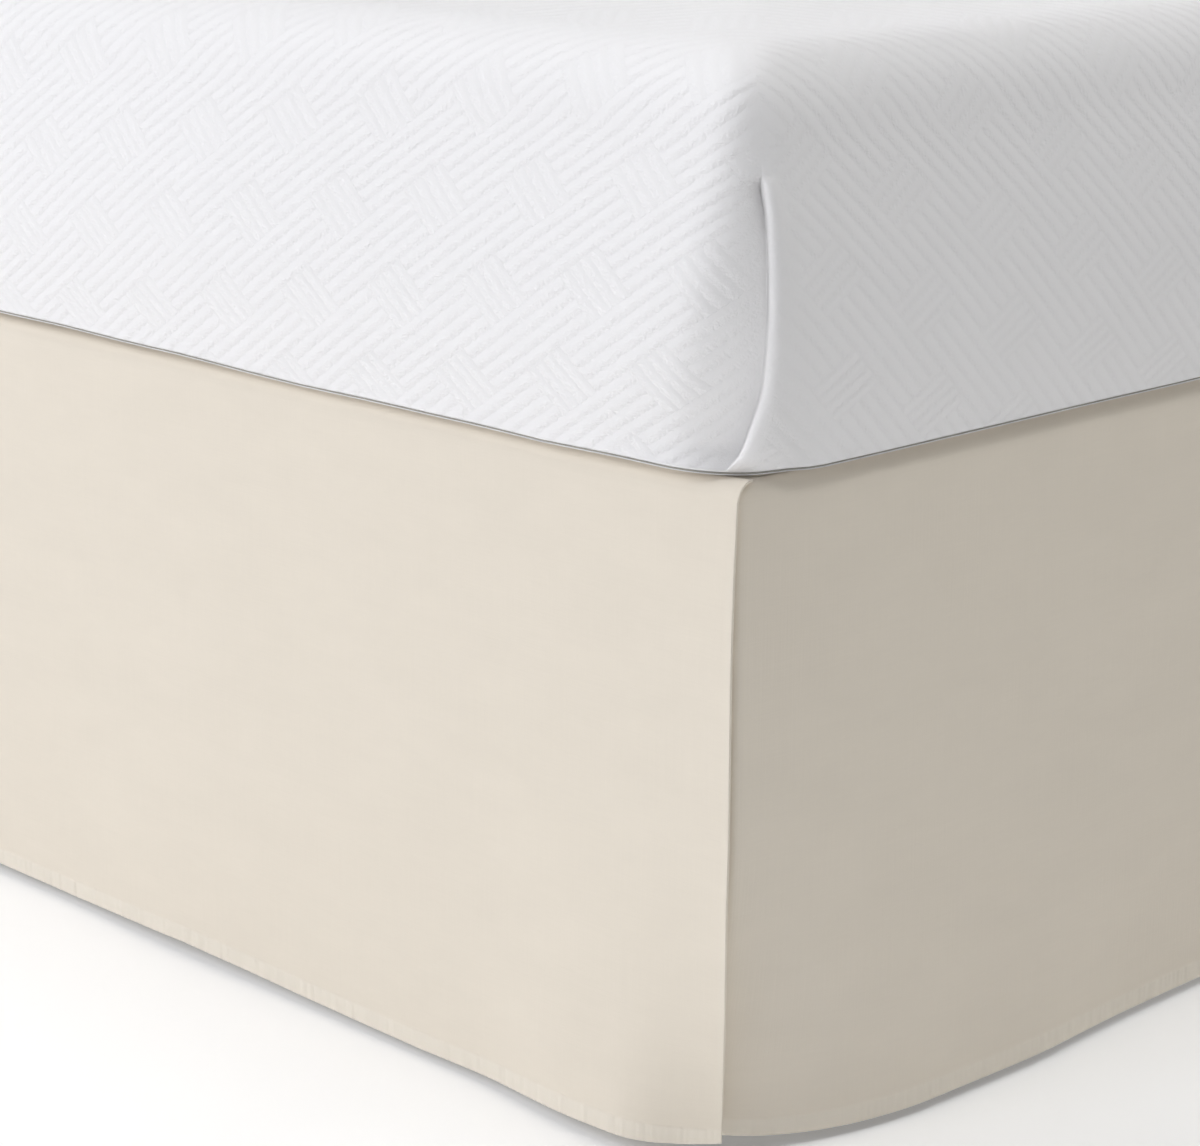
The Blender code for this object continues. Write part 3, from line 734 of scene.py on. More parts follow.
def build_mattress():
    """The mattress in its cover, which is folded over at each corner, and its welt."""
    sizes, _ = settings()
    half_x, half_y = HALF_WIDTH + MATTRESS_OVERHANG, BED_LENGTH / 2 + MATTRESS_OVERHANG
    side_x, side_y = half_x - MATTRESS_TOP_EDGE, half_y - MATTRESS_TOP_EDGE
    shoulder = MATTRESS_TOP - MATTRESS_BOTTOM - MATTRESS_TOP_EDGE
    rings, uv, smooth = [], [], []
    length, last, edge = 0.0, None, None
    for inset, height in reversed(mattress_levels()):
        z = MATTRESS_BOTTOM + height
        radius = float(np.interp(z, CORNER_HEIGHTS, CORNER_RADII)) - max(inset, 0) * MATTRESS_CORNER_EASE
        radius = max(radius, MATTRESS_LEAST_CORNER)
        angle = float(np.interp(z, FOLD_HEIGHTS, FOLD_ANGLES))
        points, outs, from_fold, past, along = mattress_quarter(
            half_x - inset, half_y - inset, radius, angle
        )
        flat = points.copy()
        if inset <= MATTRESS_TOP_EDGE + 1e-9 or height < shoulder:
            if last is None:
                edge = points.copy()
            else:
                draw = COVER_DRAW if height < shoulder else 1.0
                length += math.hypot(inset - last[0], height - last[1]) / draw
            last = (inset, height)
            wrapped = np.where(
                past[:, None],
                np.column_stack([np.full(len(along), side_x + length), along]),
                np.column_stack([along, np.full(len(along), -side_y - length)]),
            )
            share = ease(length / COVER_TURN)
            flat = (edge + outs * length) * (1 - share) + wrapped * share
        out = fold_profile(from_fold, past, FOLD_TOP - z) * ease((height - 2.5 * MM) / (5 * MM))
        points = points + outs * out[:, None]
        # Beside the fold the cover is pulled flat, but not up on the shoulder.
        reach = FOLD_SMOOTH * (0.4 + 0.6 * ease((FOLD_TOP + 4 * MM - z) / (12 * MM)))
        smoothed = np.exp(-(from_fold / reach) ** 2) * ease((length - 30 * MM) / (40 * MM))
        ring = all_round(points)
        if UNEVEN_FROM < height < shoulder + UNEVEN_PAST_SHOULDER:
            uneven = SIDE_UNEVEN * undulation(ring[:, 0] - ring[:, 1], z, SIDE_UNEVEN_LENGTHS, 4)
            ring = ring + all_round(outs) * uneven[:, None]
        rise = edge_rise(ring[:, 0], ring[:, 1]) * ease(1 - inset / EDGE_REACH_IN)
        level = z + rise * ease(1 - height / EDGE_REACH_UP)
        rings.append(np.column_stack([ring[:, 0], ring[:, 1] + BED_CENTRE_Y, level]))
        uv.append(all_round(flat))
        smooth.append(all_round(smoothed, mirrored=False))
    mattress = stacked(
        "mattress_padded", rings[::-1], uv[::-1], [ticking_material()], np.concatenate(smooth[::-1])
    )
    shape = bmesh.new()
    shape.from_mesh(mattress.data)
    bmesh.ops.remove_doubles(shape, verts=shape.verts, dist=0.01 * MM)
    shape.to_mesh(mattress.data)
    shape.free()
    # The welt is a thin grey roll; its grey is partly painted shade, standing for the dark crease under the
    # mattress.
    welt = tape_roll(
        "mattress_welt", half_x - WELT_INSET, half_y - WELT_INSET, MATTRESS_CORNER_RADIUS - WELT_INSET,
        MATTRESS_BOTTOM + WELT_HEIGHT, sizes.welt_radius, True,
    )
    return mattress, welt


def tape_roll(name, half_x, half_y, radius, z, thickness, rises=False):
    """A roll of bound tape that runs right round a block. One that rises follows the mattress's edge."""
    line, outs = block_ring(
        half_x - thickness, half_y - thickness, radius - thickness, z, 12, RUN_COUNTS
    )
    if rises:
        line[:, 2] += edge_rise(line[:, 0], line[:, 1] - BED_CENTRE_Y)
    sides = 10
    along = travelled(line)
    rings, uv = [], []
    for side in range(sides):
        angle = 2 * math.pi * side / sides
        ring = line.copy()
        ring[:, :2] += outs * thickness * math.cos(angle)
        ring[:, 2] += thickness * math.sin(angle)
        rings.append(ring)
        uv.append(np.column_stack([along, np.full(len(line), thickness * angle)]))
    points = np.concatenate(rings)
    faces = outward_faces(points, band_faces(sides, len(line), closed=True))
    return mesh_object(name, points, faces, np.concatenate(uv), [tape_material()])


def build_box_spring():
    """The covered box spring, and the rolls of tape round its top and bottom edges."""
    bottom = PLATFORM_TOP - BASE_THICKNESS
    half_x, half_y = HALF_WIDTH - BASE_COVER_INSET, BED_LENGTH / 2 - BASE_COVER_INSET
    levels = [(0.03, bottom)] + [(i, bottom + h) for i, h in reversed(quarter(BASE_BOTTOM_EDGE, 4))]
    low, high = bottom + BASE_BOTTOM_EDGE, PLATFORM_TOP - BASE_TOP_EDGE
    for share in np.linspace(0, 1, 10)[1:-1]:
        levels.append((-BASE_SWELL * math.sin(math.pi * share), low + (high - low) * share))
    levels += [(i, PLATFORM_TOP - h) for i, h in quarter(BASE_TOP_EDGE, 6)]
    levels += [(0.06, PLATFORM_TOP), (0.30, PLATFORM_TOP)]
    rings, uv = [], []
    for inset, z in levels:
        radius = max(BASE_COVER_RADIUS - inset, 1.5 * MM)
        ring, _ = block_ring(half_x - inset, half_y - inset, radius, z, 6, RUN_COUNTS)
        wrapped = np.column_stack([travelled(ring[:, :2]), np.full(len(ring), z)])
        uv.append(ring[:, :2] if inset >= BASE_TOP_EDGE else wrapped)
        rings.append(ring)
    body = stacked("box_spring_covered", rings, uv, [border_material()])
    rolls = [
        tape_roll(
            f"box_spring_tape_{edge}", half_x - inset, half_y - inset, BASE_COVER_RADIUS - inset / 2, z,
            BASE_TAPE_RADIUS,
        )
        for edge, inset, z in (
            ("top", BASE_TOP_TAPE[0], PLATFORM_TOP - BASE_TOP_TAPE[1]),
            ("bottom", BASE_BOTTOM_TAPE[0], bottom + BASE_BOTTOM_TAPE[1]),
        )
    ]
    return body, rolls


def build_deck():
    """The deck, a closed sheet that stands up over the seams round its edges."""
    sizes, _ = settings()
    half_x = HALF_WIDTH - DECK_INSET
    low_y, high_y = FOOT_Y + DECK_INSET, HEAD_Y - HEAD_END_INSET
    across, along = np.meshgrid(
        np.linspace(-half_x, half_x, DECK_COLUMNS), np.linspace(low_y, high_y, DECK_ROWS), indexing="ij"
    )
    from_side, from_foot = half_x - np.abs(across), along - low_y
    ripple = DECK_RIPPLE * undulation(across, along, DECK_RIPPLE_LENGTHS, 9)
    ripple *= np.clip(from_side / DECK_RIPPLE_FADE, 0, 1) * np.clip(from_foot / DECK_RIPPLE_FADE, 0, 1)
    start, end = DECK_SEAM_REACH
    seam = DECK_SEAM_RISE * (1 - ease((np.minimum(from_side, from_foot) - start) / (end - start)))
    seam += CORNER_RISE * ease(1 - np.hypot(from_side, from_foot) / CORNER_REACH)
    middle = np.stack([across, along, DECK_HEIGHT + ripple + seam], axis=-1)
    half = np.array([0.0, 0.0, sizes.cloth_thickness / 2])
    columns, rows = DECK_COLUMNS, DECK_ROWS
    points = np.concatenate([(middle + half).reshape(-1, 3), (middle - half).reshape(-1, 3)])
    flat = np.stack([across, along], axis=-1).reshape(-1, 2)
    total = columns * rows
    faces = []
    for quad in grid_faces(columns, rows):
        faces += [quad, [total + k for k in quad[::-1]]]
    rim = [i * rows for i in range(columns)]
    rim += [(columns - 1) * rows + j for j in range(1, rows)]
    rim += [i * rows + rows - 1 for i in range(columns - 2, -1, -1)]
    rim += [j for j in range(rows - 2, 0, -1)]
    for i, low in enumerate(rim):
        j = rim[(i + 1) % len(rim)]
        faces.append([j, low, total + low, total + j])
    return mesh_object("skirt_deck", points, faces, np.concatenate([flat, flat]), [cotton_material()])


# Materials.


def add_node(tree, kind, inputs=(), output=0, **values):
    """Adds a node with its settings. Its inputs, by name or in order, are set to values or linked from other
    nodes' outputs. Gives back one of its own outputs."""
    node = tree.nodes.new("ShaderNode" + kind)
    for name, value in values.items():
        setattr(node, name, value)
    for name, value in inputs.items() if isinstance(inputs, dict) else enumerate(inputs):
        if isinstance(value, bpy.types.NodeSocket):
            tree.links.new(value, node.inputs[name])
        else:
            node.inputs[name].default_value = value
    return node.outputs[output] if len(node.outputs) else None


def made_once(name):
    """Makes the material of this name at its first use. The function below adds its nodes, and gives back
    the inputs of its Principled shader."""
    def decorate(make):
        def material():
            if name not in bpy.data.materials:
                made = bpy.data.materials.new(name)
                made.use_nodes = True
                made.node_tree.nodes.clear()
                node = partial(add_node, made.node_tree)
                shader = node("BsdfPrincipled", make(node, *settings()))
                node("OutputMaterial", {"Surface": shader})
            return bpy.data.materials[name]
        return material
    return decorate


def opaque(colour):
    return (*colour, 1.0)


def cloth_place(node):
    """The cloth's own flat coordinates, in metres: both together, place along it and place down it."""
    uv = node("UVMap", uv_map="cloth")
    return uv, *node("SeparateXYZ", (uv,)).node.outputs[:2]


def stretched_noise(node, place, size, detail=2.0, roughness=0.5):
    """Noise whose features have this size along and down the cloth."""
    scaled = node("Mapping", {"Vector": place, "Scale": (1 / size[0], 1 / size[1], 1.0)})
    noise = {"Vector": scaled, "Scale": 1.0, "Detail": detail, "Roughness": roughness}
    return node("TexNoise", noise, "Fac")


def object_noise(node, size, detail=2.0):
    """Noise in the piece's own space, with features of this size."""
    place = node("TexCoord", output="Object")
    return node("TexNoise", {"Vector": place, "Scale": 1 / size, "Detail": detail}, "Fac")


def plain_weave(node, along, down, pitch):
    """Height of a plain weave, 0 to 1: threads of this pitch that pass over and under in turn."""
    warp, weft = (
        node("Math", (node("Math", (place, math.pi / pitch), operation="MULTIPLY"),), operation="SINE")
        for place in (along, down)
    )
    crossings = node("Math", (warp, weft), operation="MULTIPLY")
    return node("Math", (crossings, 0.5, 0.5), operation="MULTIPLY_ADD")


def tone(node, colour, share, low, high):
    """A colour multiplied by a grey that runs from low to high with share."""
    grey = node("MapRange", {"Value": share, "To Min": low, "To Max": high})
    grey = node("CombineColor", (grey, grey, grey))
    return node("Mix", {0: 1.0, 6: colour, 7: grey}, 2, data_type="RGBA", blend_type="MULTIPLY")


@made_once("Cotton sheeting, plain weave, ivory")
def cotton_material(node, sizes, colours):
    """Piece-dyed cotton and polyester sheeting: a fine plain weave with faint slubs, pressed smooth, so it
    looks flat and soft. The doubled cloth of the hems is painted a little lighter, as painted light for less
    of the shade under the bed showing through. The weave is drawn coarser than real sheeting, which is too
    fine to show."""
    place, along, down = cloth_place(node)
    doubled = node("Attribute", output="Fac", attribute_name="doubled")
    # The hems are painted a little lighter than the single cloth: painted light, for less of the shade under
    # the bed showing through.
    cloth_and_hem_painted_lighter = {0: doubled, 6: opaque(colours.cloth), 7: opaque(colours.cloth_hem_painted_lighter)}
    colour = node("Mix", cloth_and_hem_painted_lighter, 2, data_type="RGBA")
    weft_slubs = stretched_noise(node, place, (45 * MM, 1.1 * MM), 1.0)
    warp_slubs = stretched_noise(node, place, (1.1 * MM, 62 * MM), 1.0)
    slubs = node("Math", (weft_slubs, warp_slubs), operation="ADD")
    colour = tone(node, colour, node("Math", (slubs, 0.5), operation="MULTIPLY"), 0.98, 1.02)
    clouds = stretched_noise(node, place, (77 * MM, 29.4 * MM), 4.0, 0.6)
    colour = tone(node, colour, clouds, 0.968, 1.032)
    weave = plain_weave(node, along, down, sizes.weave_pitch)
    normal = node("Bump", {"Height": weave, "Distance": 0.05 * MM, "Strength": 0.5})
    normal = node("Bump", {"Height": slubs, "Distance": 0.1 * MM, "Strength": 0.5, "Normal": normal})
    # The hems pucker a little along their stitches.
    puckers = stretched_noise(node, place, (6.25 * MM, 71.4 * MM), 1.0)
    puckers = node("Math", (puckers, 0.5), operation="SUBTRACT")
    puckers = node("Math", (puckers, doubled), operation="MULTIPLY")
    normal = node("Bump", {"Height": puckers, "Distance": 1.2 * MM, "Strength": 1.0, "Normal": normal})
    return {
        "Base Color": colour, "Normal": normal, "Roughness": 0.86, "IOR": 1.5, "Specular IOR Level": 0.25,
        "Sheen Weight": 0.12, "Sheen Roughness": 0.45,
    }


@made_once("Sewing thread, spun polyester")
def thread_material(node, sizes, colours):
    """Spun polyester sewing thread, dyed to match the cloth, whose ply twist gives it a slight sparkle: the
    twist's crests are painted lighter and its grooves darker, as painted highlight and shade.
    """
    _, along, down = cloth_place(node)
    turn = 2 * math.pi / (0.7 * MM)
    twist = node("Math", (down, turn), operation="MULTIPLY")
    twist = node("Math", (along, turn, twist), operation="MULTIPLY_ADD")
    twist = node("Math", (twist,), operation="SINE")
    # The twist's crests are painted lighter and its grooves darker: painted highlight and painted shade.
    return {
        "Base Color": tone(node, opaque(colours.thread), twist, 0.94, 1.04),
        "Normal": node("Bump", {"Height": twist, "Distance": 0.04 * MM, "Strength": 0.6}),
        "Roughness": 0.6, "IOR": 1.54,
    }


@made_once("Mattress ticking, white, padded ribs")
def ticking_material(node, sizes, colours):
    """White knitted mattress ticking, soft and matt. Padded ribs run aslant across it, and blocks of four
    short ribs cross them in each strand of four, in the old basket pattern."""
    pitch = sizes.rib_pitch
    place, _, _ = cloth_place(node)
    turned = node("VectorRotate", {"Vector": place, "Angle": -sizes.rib_angle}, rotation_type="Z_AXIS")
    along, across = node("SeparateXYZ", (turned,)).node.outputs[:2]
    # The knit is crinkled, and its ribs waver by this much.
    waver = 3.5 * MM
    crinkle = stretched_noise(node, place, (3.03 * MM, 3.03 * MM), 3.0, 0.65)
    starts = (3.8 * pitch - waver / 2, 2.2 * pitch - waver / 2)
    wavy = [node("Math", (crinkle, waver, axis), operation="MULTIPLY_ADD") for axis in (along, across)]
    along, across = (node("Math", pair, operation="ADD") for pair in zip(wavy, starts))
    strand = node("Math", (across, 4 * pitch), operation="DIVIDE")
    strand = node("Math", (strand,), operation="FLOOR")
    shifted = node("Math", (strand, 7.5 * pitch, along), operation="MULTIPLY_ADD")
    within = node("Math", (shifted, 15 * pitch), operation="FLOORED_MODULO")
    crossing = node("Math", (within, 4 * pitch), operation="LESS_THAN")
    over_ribs = node("Mix", {0: crossing, 2: across, 3: within}, data_type="FLOAT")
    ribs = node("Math", (over_ribs, math.pi / pitch), operation="MULTIPLY")
    ribs = node("Math", (node("Math", (ribs,), operation="SINE"),), operation="ABSOLUTE")
    ribs = node("Math", (ribs, 1.4), operation="POWER")
    # The cover is pulled flat beside its corner folds.
    pulled = node("Attribute", output="Fac", attribute_name="doubled")
    ribs = node("Math", (ribs, node("Math", (1.0, pulled), operation="SUBTRACT")), operation="MULTIPLY")
    fuzz = stretched_noise(node, place, (0.714 * MM, 0.714 * MM))
    normal = node("Bump", {"Height": ribs, "Distance": sizes.rib_height, "Strength": 0.8})
    normal = node("Bump", {"Height": crinkle, "Distance": 0.7 * MM, "Strength": 0.7, "Normal": normal})
    normal = node("Bump", {"Height": fuzz, "Distance": 0.12 * MM, "Strength": 0.35, "Normal": normal})
    # The valleys between the ribs are painted up to 1.5 % darker: painted shade.
    return {
        "Base Color": tone(node, opaque(colours.ticking), ribs, 0.985, 1.0), "Normal": normal,
        "Roughness": 0.9, "IOR": 1.5, "Specular IOR Level": 0.2,
        "Sheen Weight": 0.15, "Sheen Roughness": 0.5,
    }


@made_once("Edge tape, woven polyester")
def tape_material(node, sizes, colours):
    """Woven polyester edge tape with fine cross ribs. Its dull grey is partly painted shade: on the
    mattress's welt it stands for the dark crease under the mattress.
    """
    place, along, _ = cloth_place(node)
    ribs = node("Math", (along, math.pi / (0.6 * MM)), operation="MULTIPLY")
    ribs = node("Math", (ribs,), operation="SINE")
    blotches = stretched_noise(node, place, (16.7 * MM, 5 * MM))
    return {
        "Base Color": tone(node, opaque(colours.tape), blotches, 0.93, 1.05),
        "Normal": node("Bump", {"Height": ribs, "Distance": 0.05 * MM, "Strength": 0.6}),
        "Roughness": 0.75, "IOR": 1.5, "Specular IOR Level": 0.3,
    }


@made_once("Box spring cover, spun-bonded polyester")
def border_material(node, sizes, colours):
    """Off-white spun-bonded polyester stretched over the box spring: a flat papery face with a fine grid of
    bonded points."""
    place, along, down = cloth_place(node)
    points = plain_weave(node, along, down, 1.8 * MM)
    fibres = stretched_noise(node, place, (2 * MM, 1.1 * MM), 3.0, 0.6)
    normal = node("Bump", {"Height": points, "Distance": 0.08 * MM, "Strength": 0.6})
    normal = node("Bump", {"Height": fibres, "Distance": 0.15 * MM, "Strength": 0.4, "Normal": normal})
    return {
        "Base Color": tone(node, opaque(colours.base_cover), fibres, 0.93, 1.05), "Normal": normal,
        "Roughness": 0.82, "IOR": 1.49,
    }


@made_once("Powder-coated steel, black")
def steel_material(node, sizes, colours):
    """Mild steel tube under black powder coat, whose fine orange peel breaks up its dull shine."""
    peel = object_noise(node, 1.43 * MM)
    wear = object_noise(node, 71.4 * MM, 3.0)
    return {
        "Base Color": tone(node, opaque(colours.steel), wear, 0.8, 1.35),
        "Normal": node("Bump", {"Height": peel, "Distance": 0.12 * MM, "Strength": 0.5}),
        "Roughness": node("MapRange", {"Value": wear, "To Min": 0.42, "To Max": 0.58}), "IOR": 1.5,
    }


@made_once("Moulded polypropylene, black")
def plastic_material(node, sizes, colours):
    """Injection-moulded polypropylene, matt from its spark-eroded mould and scuffed grey in places."""
    grain = object_noise(node, 0.667 * MM, 1.0)
    scuffs = object_noise(node, 16.7 * MM, 3.0)
    return {
        "Base Color": tone(node, opaque(colours.plastic), scuffs, 0.85, 1.3),
        "Normal": node("Bump", {"Height": grain, "Distance": 0.06 * MM, "Strength": 0.5}),
        "Roughness": 0.52, "IOR": 1.49,
    }


@made_once("Studio floor, lit opal acrylic")
def floor_material(node, sizes, colours):
    """Matt opal acrylic sheet, lit from below, so what stands on it has a faint shadow. It is lit more
    strongly far out, where the lamps don't reach."""
    reach = node("VectorMath", (node("TexCoord", output="Object"),), "Value", operation="LENGTH")
    near, far = FLOOR_GLOW_REACH
    glow = {"From Min": near, "From Max": far, "To Min": sizes.floor_glow, "To Max": sizes.far_glow}
    return {
        "Base Color": opaque(colours.floor), "Emission Color": opaque(colours.floor),
        "Emission Strength": node("MapRange", {"Value": reach, **glow}, interpolation_type="SMOOTHSTEP"),
        "Roughness": 0.9, "IOR": 1.49, "Specular IOR Level": 0.2,
    }


# Stage.


def point_at(obj, target):
    """Turns a lamp so that it faces the target, with its width level."""
    direction = np.array(target) - np.array(obj.location)
    flat = math.hypot(direction[0], direction[1])
    obj.rotation_euler = (
        math.pi / 2 + math.atan2(direction[2], flat), 0.0, math.atan2(-direction[0], direction[1])
    )


def soft_light(name, location, target, size, power, colour=(1.0, 1.0, 1.0), spread=180):
    data = bpy.data.lights.new(name, "AREA")
    data.shape = "RECTANGLE"
    data.size, data.size_y = size
    data.energy = power
    data.color = colour
    data.spread = math.radians(spread)
    light = bpy.data.objects.new(name, data)
    light.location = location
    bpy.context.scene.collection.objects.link(light)
    point_at(light, target)


def build_floor():
    """One wide level sheet, in rings that are close together near the bed."""
    lines = sorted({side * span for span in FLOOR_SPANS for side in (-1, 1)})
    points = [(x, y, -FLOOR_GAP) for x in lines for y in lines]
    uv = [(x, y) for x, y, _ in points]
    finish = floor_material()
    # The floor is so wide that rays meet it without being aimed at it, which saves render time.
    finish.cycles.emission_sampling = "NONE"
    return mesh_object("studio_floor", points, grid_faces(len(lines), len(lines)), uv, [finish])


def build_camera():
    data = bpy.data.cameras.new("photo_camera")
    data.sensor_fit = "HORIZONTAL"
    data.sensor_width = 36.0
    data.lens = 95.96
    data.clip_start = 0.05
    data.clip_end = 100.0
    camera = bpy.data.objects.new("photo_camera", data)
    camera.location = (1.8404, -2.1615, 0.7696)
    camera.rotation_euler = (math.radians(74.893), 0.0, math.radians(45.904))
    bpy.context.scene.collection.objects.link(camera)
    bpy.context.scene.camera = camera


def build_world(sizes, colours):
    """Even light: hardly any from overhead, and more from near the horizon, which is the pale backdrop."""
    world = bpy.data.worlds.new("studio_light")
    world.use_nodes = True
    background = world.node_tree.nodes["Background"]
    background.inputs["Color"].default_value = opaque(colours.world)
    node = partial(add_node, world.node_tree)
    height = node("SeparateXYZ", (node("TexCoord", output="Generated"),), 2)
    fade = {"From Max": BACKDROP_HEIGHT, "To Min": sizes.horizon_strength, "To Max": sizes.world_strength}
    strength = node("MapRange", {"Value": height, **fade}, interpolation_type="SMOOTHSTEP")
    world.node_tree.links.new(strength, background.inputs["Strength"])
    bpy.context.scene.world = world


def build_stage():
    sizes, colours = settings()
    build_camera()
    build_floor()
    corner, cool = (0.3, -0.6, 0.25), (0.98, 0.99, 1.03)
    soft_light("key_softbox", (-4.6, -4.2, 3.6), corner, (2.0, 2.0), sizes.key_power, cool)
    soft_light("front_softbox", (0.2, -5.6, 2.6), corner, (2.0, 2.0), sizes.front_power, cool)
    soft_light("top_softbox", (0.2, -0.6, 3.6), (0.2, -0.6, 0.0), (3.2, 3.2), sizes.top_power)
    soft_light("side_strip", (1.9, 0.0, 3.3), (0.7, -0.4, 0.5), (2.4, 0.5), sizes.strip_power, spread=30)
    soft_light("head_softbox", (3.6, 4.6, 4.4), (0.6, -0.4, 0.25), (2.4, 2.4), sizes.fill_power)
    build_world(sizes, colours)
    bpy.context.scene.view_settings.view_transform = "Standard"
    bpy.context.scene.view_settings.look = "None"


# Settings, operators and panel.


def number_property(name, description, default, **kinds):
    return bpy.props.FloatProperty(name=name, description=description, default=default, min=0.0, **kinds)


def length_property(name, description, default):
    return number_property(name, description, default, unit="LENGTH", subtype="DISTANCE", precision=5)


def power_property(name, description, default):
    return number_property(name, description, default, unit="POWER")


def colour_property(name, description, code):
    return bpy.props.FloatVectorProperty(
        name=name, description=description, default=linear(code), size=3, min=0.0, max=1.0, subtype="COLOR"
    )


class BedSkirtSizes(bpy.types.PropertyGroup):
    cloth_thickness: length_property("Cloth thickness", "Thickness of the single cloth", 0.8 * MM)
    hem_thickness: length_property("Hem thickness", "Thickness where the cloth is doubled", 1.5 * MM)
    hem_depth: length_property("Hem depth", "Depth of the hem along the bottom", 0.5 * INCH)
    side_hem_width: length_property("Side hem width", "Width of the narrow hem down each end", 6 * MM)
    stitch_length: length_property("Stitch length", "Length of one stitch that shows", 2.1 * MM)
    stitch_gap: length_property("Stitch gap", "Gap between two stitches", 0.6 * MM)
    thread_radius: length_property("Thread radius", "Radius of the sewing thread", 0.13 * MM)
    weave_pitch: length_property("Weave pitch", "Distance between two threads of the cloth", 0.42 * MM)
    rib_pitch: length_property("Rib pitch", "Distance between two ribs of the ticking", 9.4 * MM)
    rib_height: length_property("Rib height", "Height of the ribs of the ticking", 0.45 * MM)
    welt_radius: length_property("Welt radius", "Radius of the mattress's welt", 0.33 * MM)
    rib_angle: number_property(
        "Rib angle", "Slope of the ribs across the bed", math.radians(40), subtype="ANGLE"
    )
    crease_strength: number_property("Crease strength", "How strongly the creases of the cloth show", 1.0)
    key_power: power_property("Key power", "Power of the main light", 197.0)
    front_power: power_property("Front power", "Power of the light before the foot", 68.0)
    top_power: power_property("Top power", "Power of the light overhead", 50.0)
    fill_power: power_property("Fill power", "Power of the light from the head of the bed", 106.0)
    strip_power: power_property("Strip power", "Power of the narrow light over the right side", 1.2)
    floor_glow: number_property("Floor glow", "Light that comes up through the floor", 0.205)
    far_glow: number_property("Far glow", "The same, far out on the floor", 0.42)
    world_strength: number_property("World strength", "Strength of the even light overhead", 0.01)
    horizon_strength: number_property("Horizon strength", "Strength of the backdrop at floor level", 0.42)


class BedSkirtColours(bpy.types.PropertyGroup):
    cloth: colour_property("Cloth", "Ivory cotton of the skirt", "#ECE3D4")
    # The hem's colour is painted lighter than the cloth's: painted light.
    cloth_hem_painted_lighter: colour_property("Hem", "The same cotton where it is doubled", "#EFE7D9")
    thread: colour_property("Thread", "Sewing thread", "#E6DDCB")
    ticking: colour_property("Ticking", "White cloth of the mattress", "#F8F7F7")
    # Grey, and partly painted shade: on the mattress's welt it stands for the dark crease under the
    # mattress.
    tape: colour_property("Tape", "Welt of the mattress and edge tapes of the box spring", "#B0ACA3")
    base_cover: colour_property("Base cover", "Cover of the box spring", "#E0DEDA")
    steel: colour_property("Steel", "Powder coat of the frame", "#2B2B2D")
    plastic: colour_property("Plastic", "Glides under the legs", "#232324")
    floor: colour_property("Floor", "Studio floor", "#F7F7F7")
    world: colour_property("World", "Even light all round", "#FFFFFF")


def settings():
    scene = bpy.context.scene
    return scene.bed_skirt_sizes, scene.bed_skirt_colours


def place(piece, slot_name, *nodes):
    """The piece rides on the one body and stands for CAD nodes, which are hidden. Its slot name is not used.
    """
    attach(piece, "root")
    if nodes:
        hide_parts(*nodes)
    return piece


class BEDSKIRT_OT_drops(bpy.types.Operator):
    """Hangs the foot panel and the two side panels"""

    bl_idname = "bed_skirt.drops"
    bl_label = "Drop Panels"
    bl_options = {"REGISTER", "UNDO"}

    def execute(self, context):
        foot, side = foot_panel(), side_panel()
        for end, panel, creases, seed, both_halves, mirror, width in (
            ("foot", foot, FOOT_CREASES, 1, True, False, FOOT_FLAT_WIDTH),
            ("right", side, SIDE_CREASES, 2, False, False, SIDE_FLAT_WIDTH),
            ("left", side, (), 5, False, True, SIDE_FLAT_WIDTH),
        ):
            body, stitches = build_panel(
                f"skirt_drop_{end}", panel, HEM_PHASES[end], creases, seed, both_halves, mirror
            )
            place(body, "skirt_cotton", f"drop_{end}")
            place(stitches, "skirt_cotton")
        return {"FINISHED"}


class BEDSKIRT_OT_deck(bpy.types.Operator):
    """Lays the deck that the panels are sewn to between the box spring and the mattress"""

    bl_idname = "bed_skirt.deck"
    bl_label = "Deck"
    bl_options = {"REGISTER", "UNDO"}

    def execute(self, context):
        deck = place(build_deck(), "skirt_cotton", "deck")
        return {"FINISHED"}


class BEDSKIRT_OT_mattress(bpy.types.Operator):
    """Builds the plain mattress with its folded corners and its welt"""

    bl_idname = "bed_skirt.mattress"
    bl_label = "Mattress"
    bl_options = {"REGISTER", "UNDO"}

    def execute(self, context):
        mattress, welt = build_mattress()
        place(mattress, "mattress_ticking", "mattress")
        place(welt, "mattress_ticking")
        return {"FINISHED"}


class BEDSKIRT_OT_box_spring(bpy.types.Operator):
    """Builds the covered box spring with its edge tapes"""

    bl_idname = "bed_skirt.box_spring"
    bl_label = "Box Spring"
    bl_options = {"REGISTER", "UNDO"}

    def execute(self, context):
        body, rolls = build_box_spring()
        place(body, "box_spring_cover", "box_spring")
        for roll in rolls:
            place(roll, "box_spring_cover")
        return {"FINISHED"}


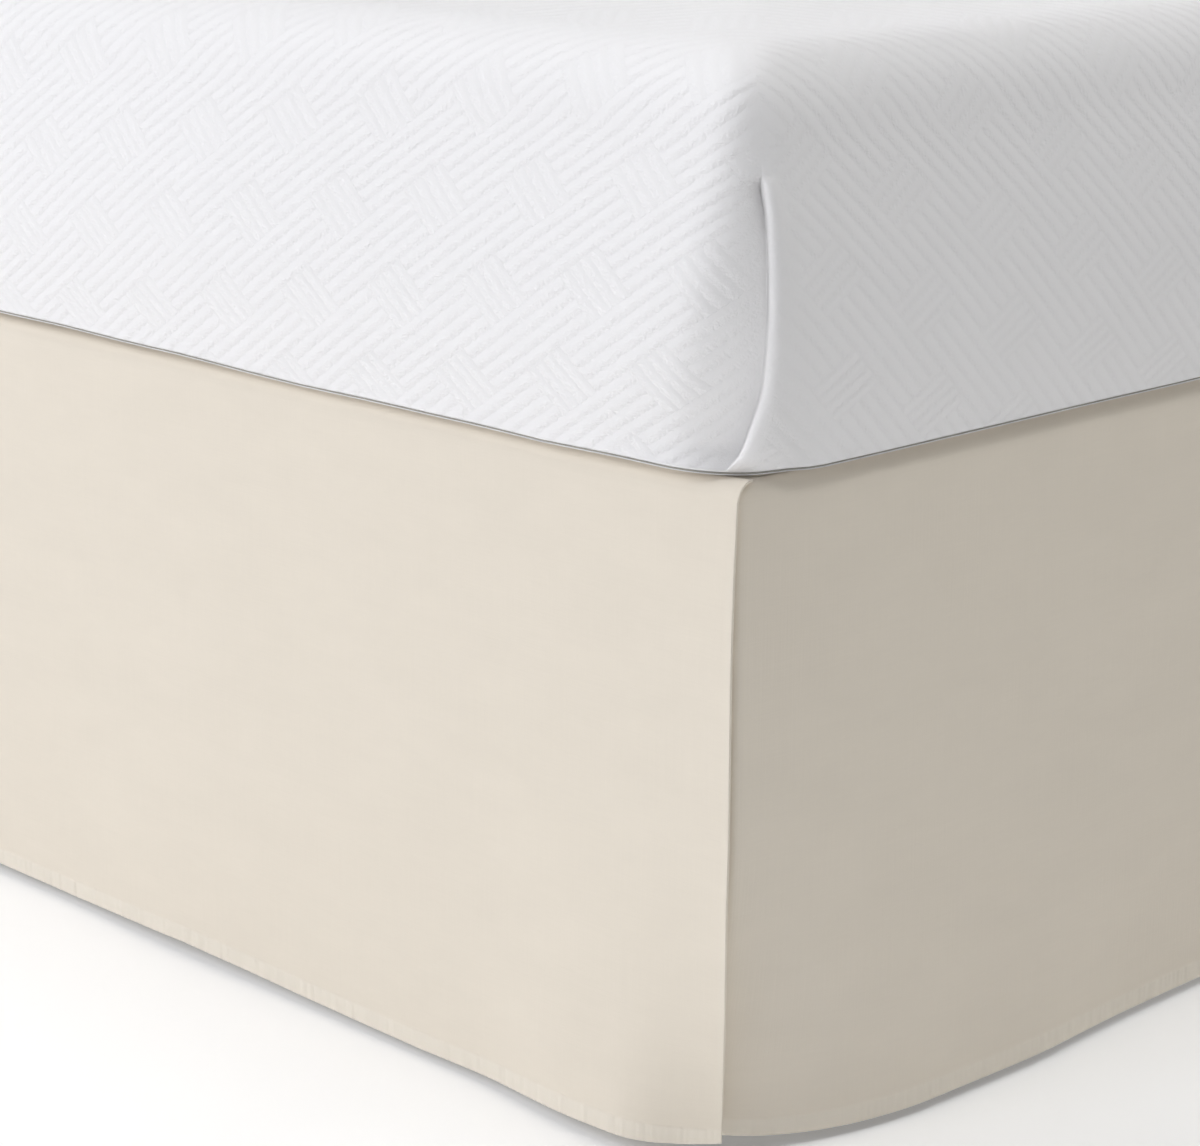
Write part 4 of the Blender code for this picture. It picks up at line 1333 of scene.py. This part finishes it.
class BEDSKIRT_OT_frame(bpy.types.Operator):
    """Finishes the steel frame, its legs and their glides"""

    bl_idname = "bed_skirt.frame"
    bl_label = "Steel Frame"
    bl_options = {"REGISTER", "UNDO"}

    def execute(self, context):
        steel, plastic = steel_material(), plastic_material()
        finishes = {"rail": steel, "cross": steel, "leg": steel, "glide": plastic}
        for name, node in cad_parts.items():
            finish = finishes.get(name.split("_")[0])
            if finish:
                for material_slot in node.material_slots:
                    material_slot.material = finish
        return {"FINISHED"}


class BEDSKIRT_OT_stage(bpy.types.Operator):
    """Sets up the floor, the soft studio lights and the camera"""

    bl_idname = "bed_skirt.stage"
    bl_label = "Stage"
    bl_options = {"REGISTER", "UNDO"}

    def execute(self, context):
        build_stage()
        return {"FINISHED"}


class BEDSKIRT_PT_panel(bpy.types.Panel):
    """The pieces of the bed skirt, in the order in which they are built"""

    bl_idname = "BEDSKIRT_PT_panel"
    bl_label = "Bed Skirt"
    bl_space_type = "VIEW_3D"
    bl_region_type = "UI"
    bl_category = "Bed Skirt"

    def draw(self, context):
        for operator in OPERATORS:
            self.layout.operator(operator.bl_idname)
        for group in (context.scene.bed_skirt_sizes, context.scene.bed_skirt_colours):
            box = self.layout.box()
            for name in group.__annotations__:
                box.prop(group, name)


OPERATORS = (
    BEDSKIRT_OT_drops,
    BEDSKIRT_OT_deck,
    BEDSKIRT_OT_mattress,
    BEDSKIRT_OT_box_spring,
    BEDSKIRT_OT_frame,
    BEDSKIRT_OT_stage,
)
CLASSES = (BedSkirtSizes, BedSkirtColours, *OPERATORS, BEDSKIRT_PT_panel)


def register():
    for cls in CLASSES:
        bpy.utils.register_class(cls)
    bpy.types.Scene.bed_skirt_sizes = bpy.props.PointerProperty(type=BedSkirtSizes)
    bpy.types.Scene.bed_skirt_colours = bpy.props.PointerProperty(type=BedSkirtColours)


def unregister():
    del bpy.types.Scene.bed_skirt_colours
    del bpy.types.Scene.bed_skirt_sizes
    for cls in reversed(CLASSES):
        bpy.utils.unregister_class(cls)


def main():
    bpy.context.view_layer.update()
    register()
    bpy.ops.bed_skirt.drops()
    bpy.ops.bed_skirt.deck()
    bpy.ops.bed_skirt.mattress()
    bpy.ops.bed_skirt.box_spring()
    bpy.ops.bed_skirt.frame()
    bpy.ops.bed_skirt.stage()


if __name__ == "__main__":
    main()
